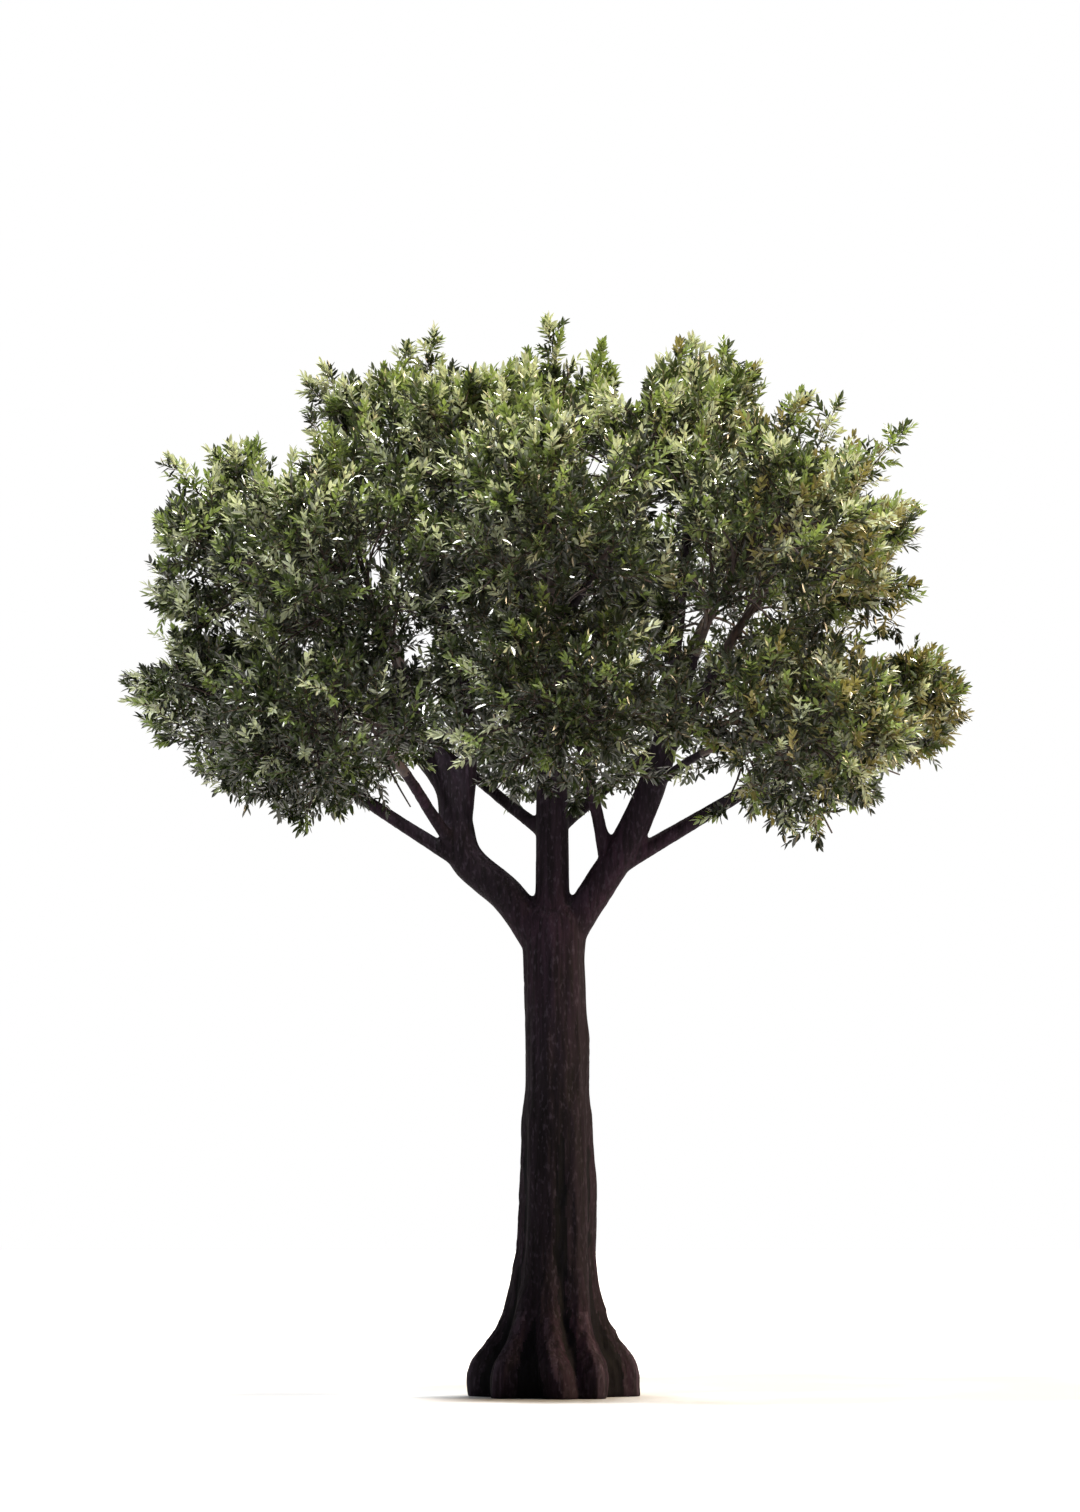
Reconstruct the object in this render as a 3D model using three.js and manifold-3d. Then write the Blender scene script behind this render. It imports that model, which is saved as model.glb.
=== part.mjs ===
// An olive tree: a straight, fluted trunk on a spreading root flare forks into three limbs,
// which carry a broad, dense, domed crown. Millimetres, +Z up. The origin is the centre of the
// trunk's flat cut at ground level, and the front of the tree is seen looking along +Y.
import * as THREE from "three";
import { mergeVertices } from "three/addons/utils/BufferGeometryUtils.js";
import Module from "manifold-3d";

const wasm = await Module();
wasm.setup();

const { degToRad, lerp } = THREE.MathUtils;
const vector = (x, y, z) => new THREE.Vector3(x, y, z);

// Clearance between solids that touch on the real tree.
const GAP = 0.3;

// The trunk: how far it reaches out along its root ridges at each height, how deep the flutes
// between them are as a share of that, how far its middle stands off the plumb line, and how
// deep it is from front to back as a share of its width, thinning where the limbs part.
const RIDGE_REACH = [
  [0, 428], [110, 430], [180, 408], [250, 350], [325, 297], [410, 258], [550, 218],
  [720, 198], [1100, 188], [1375, 176], [1500, 159], [1680, 161], [1900, 154], [2160, 152],
  [2270, 163], [2360, 172], [2420, 140],
];
const FLUTE_SHARE = [
  [0, 0.3], [250, 0.34], [410, 0.27], [600, 0.2], [1100, 0.17], [1350, 0.09], [1680, 0.05],
  [2420, 0.03],
];
const TRUNK_SWAY = [
  [0, 0], [250, -4], [450, 0], [850, 14], [1680, 16], [2160, 0], [2420, 0],
];
const TRUNK_DEPTH = [[0, 1], [1700, 1], [2100, 0.94], [2270, 0.82], [2420, 0.62]];
// Each root ridge: its azimuth at the foot and up the trunk in degrees, counted from +X towards
// +Y, and its strength. The ridges turn from one azimuth to the other as they rise, and widen.
const ROOT_RIDGES = [
  [0, 0, 1], [46, 46, 0.9], [92, 92, 0.95], [136, 136, 0.88], [180, 180, 1], [226, 233, 0.95],
  [277, 247, 0.9], [303, 308, 0.93],
];
const RIDGE_SHIFT = [[0, 0], [300, 0.4], [700, 1], [2420, 1]];
const RIDGE_WIDTH = [[0, 16], [250, 17], [600, 26], [2420, 27]];
const TRUNK_SIDES = 32;

// The three limbs: a few places that each passes through, and its radius at foot and tip.
// The side limbs bend at a knee, and are split there.
const LIMBS = {
  left: {
    way: [[-20, 0, 2190], [-225, 14, 2468], [-441, 38, 2668], [-486, 62, 2830],
      [-519, 95, 3030], [-690, 140, 3270], [-900, 200, 3530]],
    foot: 89, tip: 72, knee: 0.43,
  },
  centre: {
    way: [[-8, 0, 2300], [-8, 0, 2700], [-12, 5, 3150], [-5, 10, 3650], [-10, 10, 4060]],
    foot: 87, tip: 44,
  },
  right: {
    way: [[20, 0, 2210], [212, -14, 2505], [362, -38, 2745], [478, -66, 3000],
      [558, -104, 3260], [580, -150, 3560]],
    foot: 84, tip: 54, knee: 0.42,
  },
};
const LIMB_SIDES = 12;
const LIMB_RINGS = 9;
// A limb keeps its girth for a while and then thins: 1 would thin it evenly.
const LIMB_TAPER = 1.8;
// A limb swells towards its foot by this share of its radius, over this share of its length.
const FOOT_SWELL = 0.22;
const SWELL_LENGTH = 0.16;

// The crown's three tiers, its top and its heart. Each mass of foliage keeps to a rounded shape:
// how far out from the trunk's axis and how high its centre is, how steeply its long axis points
// up, and its half lengths along that axis, sideways, and across.
const TIERS = {
  skirt: { out: 1390, up: 3340, tilt: -6, half: [740, 700, 540] },
  shoulder: { out: 1270, up: 4080, tilt: 24, half: [760, 700, 640] },
  upper: { out: 740, up: 4560, tilt: 68, half: [590, 590, 500] },
  top: { out: 30, up: 4650, tilt: 90, half: [540, 480, 520] },
  heart: { out: 200, up: 3900, tilt: 90, half: [480, 820, 640] },
};
// How square that shape is: 2 gives an ellipsoid, and more gives fuller corners.
const SQUARENESS = 2.6;
// Each mass: its tier, the side that it is on, its azimuth in degrees, the limb that its bough
// leaves and where along it, how steeply the bough leaves and in which azimuth, the bough's
// radius, and what differs from its tier.
const MASSES = [
  ["skirt", "right", 3, "right", 0.28, 29, 0, 46,
    { more: [60, -55], tilt: 27, half: [640, 700, 375] }],
  ["skirt", "right_back", 45, "centre", 0.3, 36, 28, 31, { more: [0, 130] }],
  ["skirt", "back", 92, "centre", 0.2, 38, 92, 31, { more: [-60, 170] }],
  ["skirt", "left_back", 137, "centre", 0.29, 33, 158, 34, { more: [0, 130] }],
  ["skirt", "left", 181, "left", 0.24, 33, 180, 41,
    { more: [130, 30], tilt: 41, half: [650, 700, 460] }],
  ["skirt", "left_front", 227, "left", 0.32, 46, 195, 36, { more: [-10, -140] }],
  ["skirt", "front", 272, "centre", 0.44, 20, 272, 28, { more: [-60, -30] }],
  ["skirt", "right_front", 317, "right", 0.6, 30, 320, 28, { more: [30, -170] }],
  ["shoulder", "right", -4, "right", 0.72, 48, 0, 34,
    { more: [-75, 75], tilt: 17, half: [650, 700, 680] }],
  ["shoulder", "right_back", 46, "right", 0.86, 55, 50, 28, { more: [20, 40] }],
  ["shoulder", "back", 93, "centre", 0.52, 55, 93, 29, { more: [0, 20] }],
  ["shoulder", "left_back", 138, "left", 0.83, 50, 125, 28, { more: [0, -30] }],
  ["shoulder", "left", 179, "left", 1, 50, 180, 36,
    { more: [130, 10], tilt: 16, half: [650, 700, 650] }],
  ["shoulder", "left_front", 224, "left", 0.76, 50, 235, 28, { more: [20, -150] }],
  ["shoulder", "front", 268, "right", 0.28, 78, 185, 34, { more: [-10, -40] }],
  ["shoulder", "right_front", 314, "right", 0.8, 48, 305, 28, { more: [20, -30] }],
  ["upper", "right", 10, "right", 1, 78, 20, 36, { more: [0, 50], half: [580, 560, 440] }],
  ["upper", "back", 95, "centre", 0.84, 60, 95, 27, { half: [590, 650, 520] }],
  ["upper", "left", 172, "left", 0.45, 76, 0, 44, { more: [70, -15], half: [575, 590, 500] }],
  ["upper", "left_front", 238, "centre", 0.7, 62, 240, 27, { more: [30, -140] }],
  ["upper", "right_front", 305, "centre", 0.77, 60, 300, 27, { more: [60, -110] }],
  ["top", "centre", 0, "centre", 1, 88, 0, 34, {}],
  ["heart", "centre", 90, "centre", 0.57, 52, 35, 28, {}],
];
// Leading shoots that stand out of the crown: the mass that each grows from, and its tip.
const SPIRES = [
  ["upper_left", -1200, 90, 5210], ["upper_left", -600, 60, 5385], ["top_centre", -30, 0, 5435],
  ["top_centre", 265, 0, 5290], ["top_centre", -150, 20, 5265], ["upper_right", 695, 110, 5360],
  ["upper_right", 880, 120, 5325], ["upper_left", -1280, 60, 5130],
  ["upper_right", 1040, 40, 5190], ["shoulder_right", 1440, -80, 5010],
  ["shoulder_right", 1800, -90, 4870], ["shoulder_left", -1530, 30, 4820],
  ["shoulder_left", -1990, 30, 4735], ["shoulder_left", -1750, 30, 4770],
  ["shoulder_left", -2045, 40, 4400], ["shoulder_right", 1855, -60, 4460],
  ["shoulder_left", -2045, 20, 3945], ["shoulder_right", 1865, -40, 4310],
  ["shoulder_right", 1870, -20, 4035], ["skirt_left", -2190, -25, 3590],
  ["skirt_right", 2070, 70, 3560], ["upper_back", 60, 980, 5250],
  ["upper_left_front", -560, -720, 5080], ["upper_left", -745, 60, 5325],
  ["upper_right", 1340, -60, 5010], ["upper_right_front", 640, -680, 5190],
  ["shoulder_back", 90, 1540, 4880], ["shoulder_front", -120, -1500, 4790],
  ["shoulder_left_back", -1120, 1120, 4930], ["shoulder_right_back", 1150, 1170, 4950],
  ["shoulder_left_front", -1180, -1150, 4760], ["shoulder_right_front", 1190, -1180, 4830],
];
// Where the front is seen from, and the places where the sky or bare wood then shows in and
// around the crown: x, z and half sizes where the lines of sight meet the trunk's plane.
const EYE = vector(-70, -24000, 1000);
const SKY_GAPS = [
  [-667, 3075, 35, 50], [-760, 2950, 50, 40], [845, 3050, 85, 45], [-345, 2960, 65, 55],
  [-905, 4205, 40, 25], [215, 4640, 50, 42], [1640, 4535, 85, 55], [1790, 4640, 95, 75],
  [1350, 4775, 80, 42], [-1400, 4685, 60, 85], [-1225, 4860, 65, 110], [95, 5150, 50, 70],
  [385, 5060, 60, 100], [1145, 4900, 85, 100], [600, 5235, 70, 60], [1665, 3715, 105, 28],
  [1890, 3840, 125, 55], [-2050, 3705, 105, 65], [-1400, 2770, 130, 35], [1820, 3030, 180, 85],
  [1500, 2820, 130, 60], [-740, 5180, 40, 40], [1790, 4150, 80, 45], [-1810, 4520, 40, 40],
  [-1900, 4590, 45, 40], [-850, 2820, 60, 60], [850, 2790, 60, 50], [-1930, 3180, 70, 30],
  [-1150, 2790, 60, 40], [-600, 2920, 50, 75],
];
const BOUGH_SIDES = 6;
const BOUGH_RINGS = 4;
// A bough ends, and its mass's stem begins, at this share of the way out of the mass.
const ENTRY = 0.82;
const BOUGH_TIP_SHARE = 0.72;
const STEM_END = 0.5;
// How straight a bough leaves its limb and comes into its mass, as shares of its span.
const BOUGH_LEAVING = 0.4;
const BOUGH_ARRIVING = 0.3;
const STEM_TIP_RADIUS = 9;

// The rule by which a mass branches: its twigs, the sprays on each, those that stand straight
// out of its core, and their sizes.
const TWIGS = 5;
const TWIG_RADIUS = 16;
const TWIG_TIP_RADIUS = 11;
const TWIG_LENGTH_SHARE = 0.74;
// The twigs leave the stem from this share of its length on, over this share of it.
const TWIGS_FROM = 0.15;
const TWIGS_OVER = 0.8;
// The side sprays leave a twig at this share of its length, this much apart and at these angles.
const SIDE_SPRAYS = 2;
const SIDE_SPRAYS_FROM = 0.72;
const SIDE_SPRAYS_APART = 0.2;
const SIDE_SPRAY_ANGLES = [40, 54];
const CORE_SPRAYS = 12;
// The turn from one twig or spray to the next, from one mass's first to the next one's, and from
// a mass's twigs to the sprays on its core, in degrees.
const GOLDEN_TURN = 137.5;
const MASS_TURN = 77;
const CORE_TURN = 120;
const WIDEST_OPENING = 112;
const NARROWEST_OPENING = 14;
const WIDEST_CORE_OPENING = 140;
const LEAST_REACH = 0.8;
const MOST_REACH = 0.98;
const SPRAY_LENGTH = 420;
const SHORTEST_END_SPRAY = 240;
const SPRAY_WIDTH = 150;
const SPRAY_THICKNESS = 14;
const SPRAY_WIDEST_AT = 0.45;
const SPRAY_TRIES = 7;
const SPIRE_ROOT_SHARE = 0.4;
const SPIRE_WIDTH = 160;
const CORE_SHARE = 0.72;
const CORE_LUMPS = 0.16;
const CORE_SPRAY_ROOT_SHARE = 0.54;
// What leaves its mass's space is shortened by this share again and again until it is inside.
const SHORTENING = 0.93;
// A mass stays this far inside the plane between it and the next one, and clear of every limb.
const CELL_MARGIN = 6;
const LIMB_MARGIN = 8;

const BARK = new THREE.MeshStandardMaterial({ color: 0x2a2120, roughness: 0.85, metalness: 0 });
const FOLIAGE = new THREE.MeshStandardMaterial({ color: 0x42542a, roughness: 0.5, metalness: 0 });

// A repeatable stream of numbers from 0 to 1.
function seeded(seed) {
  let state = seed;
  return () => {
    state = (Math.imul(state, 1664525) + 1013904223) >>> 0;
    return state / 4294967296;
  };
}

// The value at x of a table of [x, value] pairs in rising order.
function along(table, x) {
  const i = Math.max(1, table.findIndex(([at]) => at >= x));
  const [x0, v0] = table[i - 1];
  const [x1, v1] = table[i];
  return lerp(v0, v1, THREE.MathUtils.clamp((x - x0) / (x1 - x0), 0, 1));
}

function directionOf(azimuth, rise) {
  const [a, r] = [degToRad(azimuth), degToRad(rise)];
  return vector(Math.cos(a) * Math.cos(r), Math.sin(a) * Math.cos(r), Math.sin(r));
}

// A closed three.js geometry as a solid that can be joined and cut.
function solidOf(geometry) {
  const bare = geometry.clone();
  bare.deleteAttribute("normal");
  bare.deleteAttribute("uv");
  const merged = mergeVertices(bare, 1e-4);
  return new wasm.Manifold(new wasm.Mesh({
    numProp: 3,
    vertProperties: merged.attributes.position.array,
    triVerts: new Uint32Array(merged.index.array),
  }));
}

// A solid with the cutters taken out of it, leaving it as it is where they don't reach it.
function cutBy(solid, cutters) {
  return cutters.reduce(
    (left, cutter) => (left.intersect(cutter).isEmpty() ? left : left.subtract(cutter)), solid,
  );
}

// The largest body of a solid, without loose scraps and with sealed hollows filled.
function mainBody(solid) {
  const bodies = solid.decompose().sort((a, b) => b.volume() - a.volume());
  return bodies[0];
}

function meshOf(name, solid, material) {
  const { numProp, vertProperties, triVerts } = solid.getMesh();
  const count = vertProperties.length / numProp;
  const position = new Float32Array(count * 3);
  for (let i = 0; i < count; i++) {
    position.set(vertProperties.subarray(i * numProp, i * numProp + 3), i * 3);
  }
  const geometry = new THREE.BufferGeometry();
  geometry.setAttribute("position", new THREE.BufferAttribute(position, 3));
  geometry.setIndex(new THREE.BufferAttribute(triVerts, 1));
  geometry.computeVertexNormals();
  const mesh = new THREE.Mesh(geometry, material);
  mesh.name = name;
  return mesh;
}

// A tube along part of a curve: a closed cylinder whose rings are laid across the curve, grown
// all round and at both ends by a clearance where something else is to be cut by it.
function tube(curve, from, to, radiusAt, sides, rings, grown = 0) {
  const chord = curve.getPoint(1).sub(curve.getPoint(0));
  const across = Math.hypot(chord.x, chord.y) > chord.length() * 0.05
    ? vector(-chord.y, chord.x, 0).normalize() : vector(0, 1, 0);
  const geometry = new THREE.CylinderGeometry(1, 1, 1, sides, rings);
  const position = geometry.attributes.position;
  for (let i = 0; i < position.count; i++) {
    const share = position.getY(i) + 0.5;
    const u = lerp(from, to, share);
    const overrun = share > 0.999 ? grown : share < 0.001 ? -grown : 0;
    const tangent = curve.getTangent(u);
    const wide = across.clone().addScaledVector(tangent, -across.dot(tangent)).normalize();
    const deep = tangent.clone().cross(wide);
    const r = radiusAt(u) + grown;
    const p = curve.getPoint(u).addScaledVector(tangent, overrun)
      .addScaledVector(wide, position.getZ(i) * r)
      .addScaledVector(deep, position.getX(i) * r);
    position.setXYZ(i, p.x, p.y, p.z);
  }
  return geometry;
}

// How near an azimuth at a height is to the crest of a root ridge: 1 on a crest, 0 in a flute.
function ridge(azimuth, z) {
  return Math.max(...ROOT_RIDGES.map(([foot, above, strength]) => {
    const at = lerp(foot, above, along(RIDGE_SHIFT, z));
    const off = Math.abs(((azimuth - at + 540) % 360) - 180) / along(RIDGE_WIDTH, z);
    return strength * Math.exp(-off * off);
  }));
}

// The trunk, grown by a clearance where something else is to be cut by it.
function trunkSolid(grown = 0) {
  const heights = RIDGE_REACH.map(([z]) => z);
  const geometry = new THREE.CylinderGeometry(1, 1, 1, TRUNK_SIDES, heights.length - 1);
  const position = geometry.attributes.position;
  for (let i = 0; i < position.count; i++) {
    const [x, y] = [position.getX(i), -position.getZ(i)];
    const level = Math.round((position.getY(i) + 0.5) * (heights.length - 1));
    const z = heights[level];
    const azimuth = THREE.MathUtils.radToDeg(Math.atan2(y, x));
    const flute = 1 - along(FLUTE_SHARE, z) * (1 - ridge(azimuth, z));
    const reach = Math.hypot(x, y) < 0.5 ? 0 : along(RIDGE_REACH, z) * flute + grown;
    const top = level === heights.length - 1 ? grown : 0;
    const turn = degToRad(azimuth);
    const across = along(TRUNK_SWAY, z) + reach * Math.cos(turn);
    position.setXYZ(i, across, reach * Math.sin(turn) * along(TRUNK_DEPTH, z), z + top);
  }
  return solidOf(geometry);
}

// The three limbs' curves and radii.
for (const limb of Object.values(LIMBS)) {
  limb.curve = new THREE.CatmullRomCurve3(limb.way.map((p) => vector(...p)), false, "centripetal");
  limb.radiusAt = (u) => lerp(limb.foot, limb.tip, u ** LIMB_TAPER)
    * (1 + FOOT_SWELL * Math.max(0, 1 - u / SWELL_LENGTH) ** 2);
}

function limbPiece(limb, from, to, grown = 0) {
  const rings = Math.max(2, Math.round(LIMB_RINGS * (to - from)));
  return solidOf(tube(limb.curve, from, to, limb.radiusAt, LIMB_SIDES, rings, grown));
}

// The masses with their shapes, boughs and stems.
const masses = MASSES.map(([tier, side, azimuth, limbName, at, rise, swing, radius, own], index) => {
  const shape = TIERS[tier];
  const [moreOut, moreUp] = own.more ?? [0, 0];
  const half = own.half ?? shape.half;
  const axis = directionOf(azimuth, own.tilt ?? shape.tilt);
  const sideways = directionOf(azimuth + 90, 0);
  const across = axis.clone().cross(sideways);
  const centre = directionOf(azimuth, 0).multiplyScalar(shape.out + moreOut)
    .setZ(shape.up + moreUp);
  const limb = LIMBS[limbName];
  const start = limb.curve.getPoint(at);
  const span = start.distanceTo(centre);
  const curve = new THREE.CubicBezierCurve3(
    start,
    start.clone().addScaledVector(directionOf(swing, rise), span * BOUGH_LEAVING),
    centre.clone().addScaledVector(axis, -span * BOUGH_ARRIVING),
    centre.clone().addScaledVector(axis, half[0] * STEM_END),
  );
  return {
    name: `${tier}_${side}`, index, axis, sideways, across, centre, half, curve, radius,
    weight: (half[0] + half[1] + half[2]) / 3,
  };
});

// How far out in a mass's rounded shape a point is: 0 at its centre and 1 on its surface.
function outness(mass, point) {
  const d = point.clone().sub(mass.centre);
  const shares = [mass.axis, mass.sideways, mass.across].map(
    (way, i) => Math.abs(d.dot(way) / mass.half[i]) ** SQUARENESS,
  );
  return shares.reduce((sum, share) => sum + share) ** (1 / SQUARENESS);
}

// The way from a mass's centre to its surface, in the direction of given shares of its half lengths.
function toSurface(mass, ahead, beside, above) {
  const out = mass.axis.clone().multiplyScalar(ahead * mass.half[0])
    .addScaledVector(mass.sideways, beside * mass.half[1])
    .addScaledVector(mass.across, above * mass.half[2]);
  return out.divideScalar(outness(mass, mass.centre.clone().add(out)));
}

// True if a point is on a mass's side of each plane between it and another mass, with room to
// spare.
function onOwnSide(mass, point, room = CELL_MARGIN) {
  const mine = point.distanceToSquared(mass.centre) - mass.weight ** 2;
  return masses.every((other) => other === mass
    || (point.distanceToSquared(other.centre) - other.weight ** 2 - mine)
      / (2 * mass.centre.distanceTo(other.centre)) > room);
}

// True if a point is in a mass's own space: inside its shape and on its own side.
function inSpace(mass, point, room = CELL_MARGIN) {
  return outness(mass, point) <= 1 && onOwnSide(mass, point, room);
}

function clearOfSky(point) {
  const seen = EYE.clone().lerp(point, EYE.y / (EYE.y - point.y));
  return SKY_GAPS.every(
    ([x, z, halfX, halfZ]) => Math.hypot((seen.x - x) / halfX, (seen.z - z) / halfZ) > 1,
  );
}

// Each bough ends where it has come into its mass's space.
for (const mass of masses) {
  const arrived = (point) => outness(mass, point) < ENTRY && inSpace(mass, point, mass.radius);
  mass.entry = 0.1;
  while (mass.entry < 0.9 && !arrived(mass.curve.getPoint(mass.entry))) mass.entry += 0.01;
}

function boughRadius(mass, u) {
  return lerp(mass.radius, mass.radius * BOUGH_TIP_SHARE, u / mass.entry);
}

function boughSolid(mass, grown = 0) {
  const radiusAt = (u) => boughRadius(mass, u);
  return solidOf(tube(mass.curve, 0, mass.entry, radiusAt, BOUGH_SIDES, BOUGH_RINGS, grown));
}

// Points along every limb and bough, with the radius there, that foliage keeps clear of.
const woodPoints = [];
for (const limb of Object.values(LIMBS)) {
  for (let u = 0; u <= 1; u += 0.02) {
    woodPoints.push({ at: limb.curve.getPoint(u), radius: limb.radiusAt(u) });
  }
}
for (const mass of masses) {
  for (let u = 0; u <= mass.entry; u += 0.02) {
    woodPoints.push({ at: mass.curve.getPoint(u), radius: boughRadius(mass, u) });
  }
}
function clearOfWood(from, to, halfWidth) {
  for (let s = 0; s <= 1; s += 0.125) {
    const p = from.clone().lerp(to, s);
    const near = woodPoints.some(
      ({ at, radius }) => at.distanceTo(p) < radius + halfWidth + LIMB_MARGIN,
    );
    if (near) return false;
  }
  return true;
}

// A spray of leaves as one blade of eight faces: a drawn-out octahedron, widest before its middle.
function spray(root, direction, length, width, roll) {
  const side = vector(-direction.y, direction.x, 0);
  if (side.length() < 0.1) side.set(1, 0, 0);
  side.normalize().applyAxisAngle(direction, roll);
  const flat = direction.clone().cross(side);
  const geometry = new THREE.OctahedronGeometry(1, 0);
  const position = geometry.attributes.position;
  const points = [];
  for (let i = 0; i < position.count; i++) {
    const end = position.getX(i);
    const forward = length * (end > 0.5 ? 1 : end < -0.5 ? 0 : SPRAY_WIDEST_AT);
    const p = root.clone().addScaledVector(direction, forward)
      .addScaledVector(side, position.getY(i) * width / 2)
      .addScaledVector(flat, position.getZ(i) * SPRAY_THICKNESS / 2);
    position.setXYZ(i, p.x, p.y, p.z);
    points.push(p);
  }
  return { geometry, points };
}

// The dense heart of a mass, lumpy and pulled in wherever it would leave the mass's space.
function core(mass, random) {
  const geometry = mergeVertices(new THREE.IcosahedronGeometry(1, 1).deleteAttribute("normal")
    .deleteAttribute("uv"), 1e-4);
  const position = geometry.attributes.position;
  for (let i = 0; i < position.count; i++) {
    const d = toSurface(mass, position.getX(i), position.getY(i), position.getZ(i))
      .multiplyScalar(CORE_SHARE * (1 + CORE_LUMPS * (random() * 2 - 1)));
    while (!inSpace(mass, mass.centre.clone().add(d))) d.multiplyScalar(SHORTENING);
    position.setXYZ(i, mass.centre.x + d.x, mass.centre.y + d.y, mass.centre.z + d.z);
  }
  return geometry;
}

// A spray that fits in its mass, clear of the limbs and of the sprays placed so far, or null.
// It is turned and shortened until it does.
function fittedSpray(mass, random, placed, root, heading, longest) {
  let length = longest * lerp(0.85, 1.05, random());
  for (let tries = 0; tries < SPRAY_TRIES; tries++, length *= SHORTENING) {
    const roll = degToRad(180 * random());
    const made = spray(root, heading, length, SPRAY_WIDTH * length / SPRAY_LENGTH, roll);
    const end = root.clone().addScaledVector(heading, length);
    if (!made.points.every((p) => inSpace(mass, p) && clearOfSky(p))) continue;
    if (!clearOfWood(root, end, SPRAY_WIDTH * 0.3)) continue;
    const solid = solidOf(made.geometry);
    if (placed.every((other) => solid.intersect(other).isEmpty())) return solid;
  }
  return null;
}

// A mass's leading shoots, each as two blades crossed along one line out of its core.
function spires(mass) {
  return SPIRES.filter(([name]) => name === mass.name).flatMap(([, ...tip]) => {
    const way = vector(...tip).sub(mass.centre);
    const root = mass.centre.clone().addScaledVector(way, SPIRE_ROOT_SHARE);
    const length = way.length() * (1 - SPIRE_ROOT_SHARE);
    const heading = way.clone().normalize();
    return [0, Math.PI / 2].map((roll) => spray(root, heading, length, SPIRE_WIDTH, roll))
      .filter((made) => made.points.every((p) => onOwnSide(mass, p)))
      .map((made) => solidOf(made.geometry));
  });
}

// One mass of foliage: a stem, a core and twigs, and the sprays and leading shoots that they
// carry, all fused.
function foliage(mass, wood) {
  const random = seeded(7919 * (mass.index + 1));
  const stemRadius = (u) => lerp(
    mass.radius * BOUGH_TIP_SHARE, STEM_TIP_RADIUS, (u - mass.entry) / (1 - mass.entry),
  );
  const parts = [solidOf(tube(mass.curve, mass.entry, 1, stemRadius, 5, 2))];
  parts.push(solidOf(core(mass, random)));
  const sprays = [];
  const add = (root, heading, longest) => {
    const made = fittedSpray(mass, random, sprays, root, heading, longest);
    if (made) sprays.push(made);
  };
  const towards = (open, turn) => toSurface(
    mass, Math.cos(open), Math.sin(open) * Math.cos(turn), Math.sin(open) * Math.sin(turn),
  );
  for (let k = 0; k < TWIGS; k++) {
    const f = (k + 0.5) / TWIGS;
    const turn = degToRad(k * GOLDEN_TURN + mass.index * MASS_TURN);
    const open = degToRad(lerp(WIDEST_OPENING, NARROWEST_OPENING, f));
    const out = towards(open, turn).multiplyScalar(lerp(LEAST_REACH, MOST_REACH, random()));
    while (!inSpace(mass, mass.centre.clone().add(out))) out.multiplyScalar(SHORTENING);
    const tip = mass.centre.clone().add(out);
    const root = mass.curve.getPoint(lerp(mass.entry, 1, TWIGS_FROM + TWIGS_OVER * f));
    const direction = tip.clone().sub(root).normalize();
    const reach = root.distanceTo(tip);
    if (!clearOfWood(root.clone().lerp(tip, 0.3), tip, TWIG_RADIUS)) continue;
    const twigEnd = root.clone().addScaledVector(direction, reach * TWIG_LENGTH_SHARE);
    const line = new THREE.LineCurve3(root, twigEnd);
    const twigRadius = (u) => lerp(TWIG_RADIUS, TWIG_TIP_RADIUS, u);
    parts.push(solidOf(tube(line, 0, 1, twigRadius, 3, 1)));
    const lastRoot = twigEnd.clone().addScaledVector(direction, -TWIG_TIP_RADIUS);
    add(lastRoot, direction, Math.max(SHORTEST_END_SPRAY, tip.distanceTo(lastRoot)));
    for (let s = 0; s < SIDE_SPRAYS; s++) {
      const spread = degToRad(lerp(...SIDE_SPRAY_ANGLES, random()));
      const bend = vector(0, 0, 1).cross(direction);
      if (bend.length() < 0.1) bend.set(1, 0, 0);
      bend.normalize().applyAxisAngle(direction, degToRad(GOLDEN_TURN * (s + k)));
      const heading = direction.clone().applyAxisAngle(bend, spread);
      const at = SIDE_SPRAYS_FROM + SIDE_SPRAYS_APART * s;
      add(root.clone().lerp(twigEnd, at), heading, SPRAY_LENGTH);
    }
  }
  for (let k = 0; k < CORE_SPRAYS; k++) {
    const open = degToRad(lerp(WIDEST_CORE_OPENING, NARROWEST_OPENING, (k + 0.5) / CORE_SPRAYS));
    const turn = degToRad((k + 0.5) * GOLDEN_TURN + CORE_TURN + mass.index * MASS_TURN);
    const out = towards(open, turn);
    const root = mass.centre.clone().addScaledVector(out, CORE_SPRAY_ROOT_SHARE);
    add(root, out.clone().normalize(), SPRAY_LENGTH);
  }
  return mainBody(cutBy(wasm.Manifold.union([...parts, ...sprays, ...spires(mass)]), wood));
}

const tree = new THREE.Group();

tree.add(meshOf("trunk", trunkSolid(), BARK));

// The limbs, cut by the trunk, and by each other where they part from it.
const cutters = [trunkSolid(GAP)];
for (const name of ["centre", "left", "right"]) {
  const limb = LIMBS[name];
  const kneeGap = GAP / limb.curve.getLength();
  const spans = limb.knee
    ? [["lower", 0, limb.knee], ["upper", limb.knee + kneeGap, 1]]
    : [["", 0, 1]];
  const made = spans.map(([part, from, to]) => ({
    name: ["limb", name, part].filter(Boolean).join("_"),
    solid: limbPiece(limb, from, to),
    grown: limbPiece(limb, from, to, GAP),
  }));
  for (const piece of made) {
    tree.add(meshOf(piece.name, mainBody(cutBy(piece.solid, cutters)), BARK));
  }
  cutters.push(...made.map((piece) => piece.grown));
}

// The boughs, cut by the limbs that they leave, and by each other where two leave one place.
const boughs = [];
for (const mass of masses) {
  const cut = cutBy(boughSolid(mass), [...cutters, ...boughs]);
  tree.add(meshOf(`bough_${mass.name}`, mainBody(cut), BARK));
  boughs.push(boughSolid(mass, GAP));
}

// The masses of foliage, cut clear of every limb and bough.
const wood = [...cutters, ...boughs];
for (const mass of masses) {
  tree.add(meshOf(`foliage_${mass.name}`, foliage(mass, wood), FOLIAGE));
}

export default tree;
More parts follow.
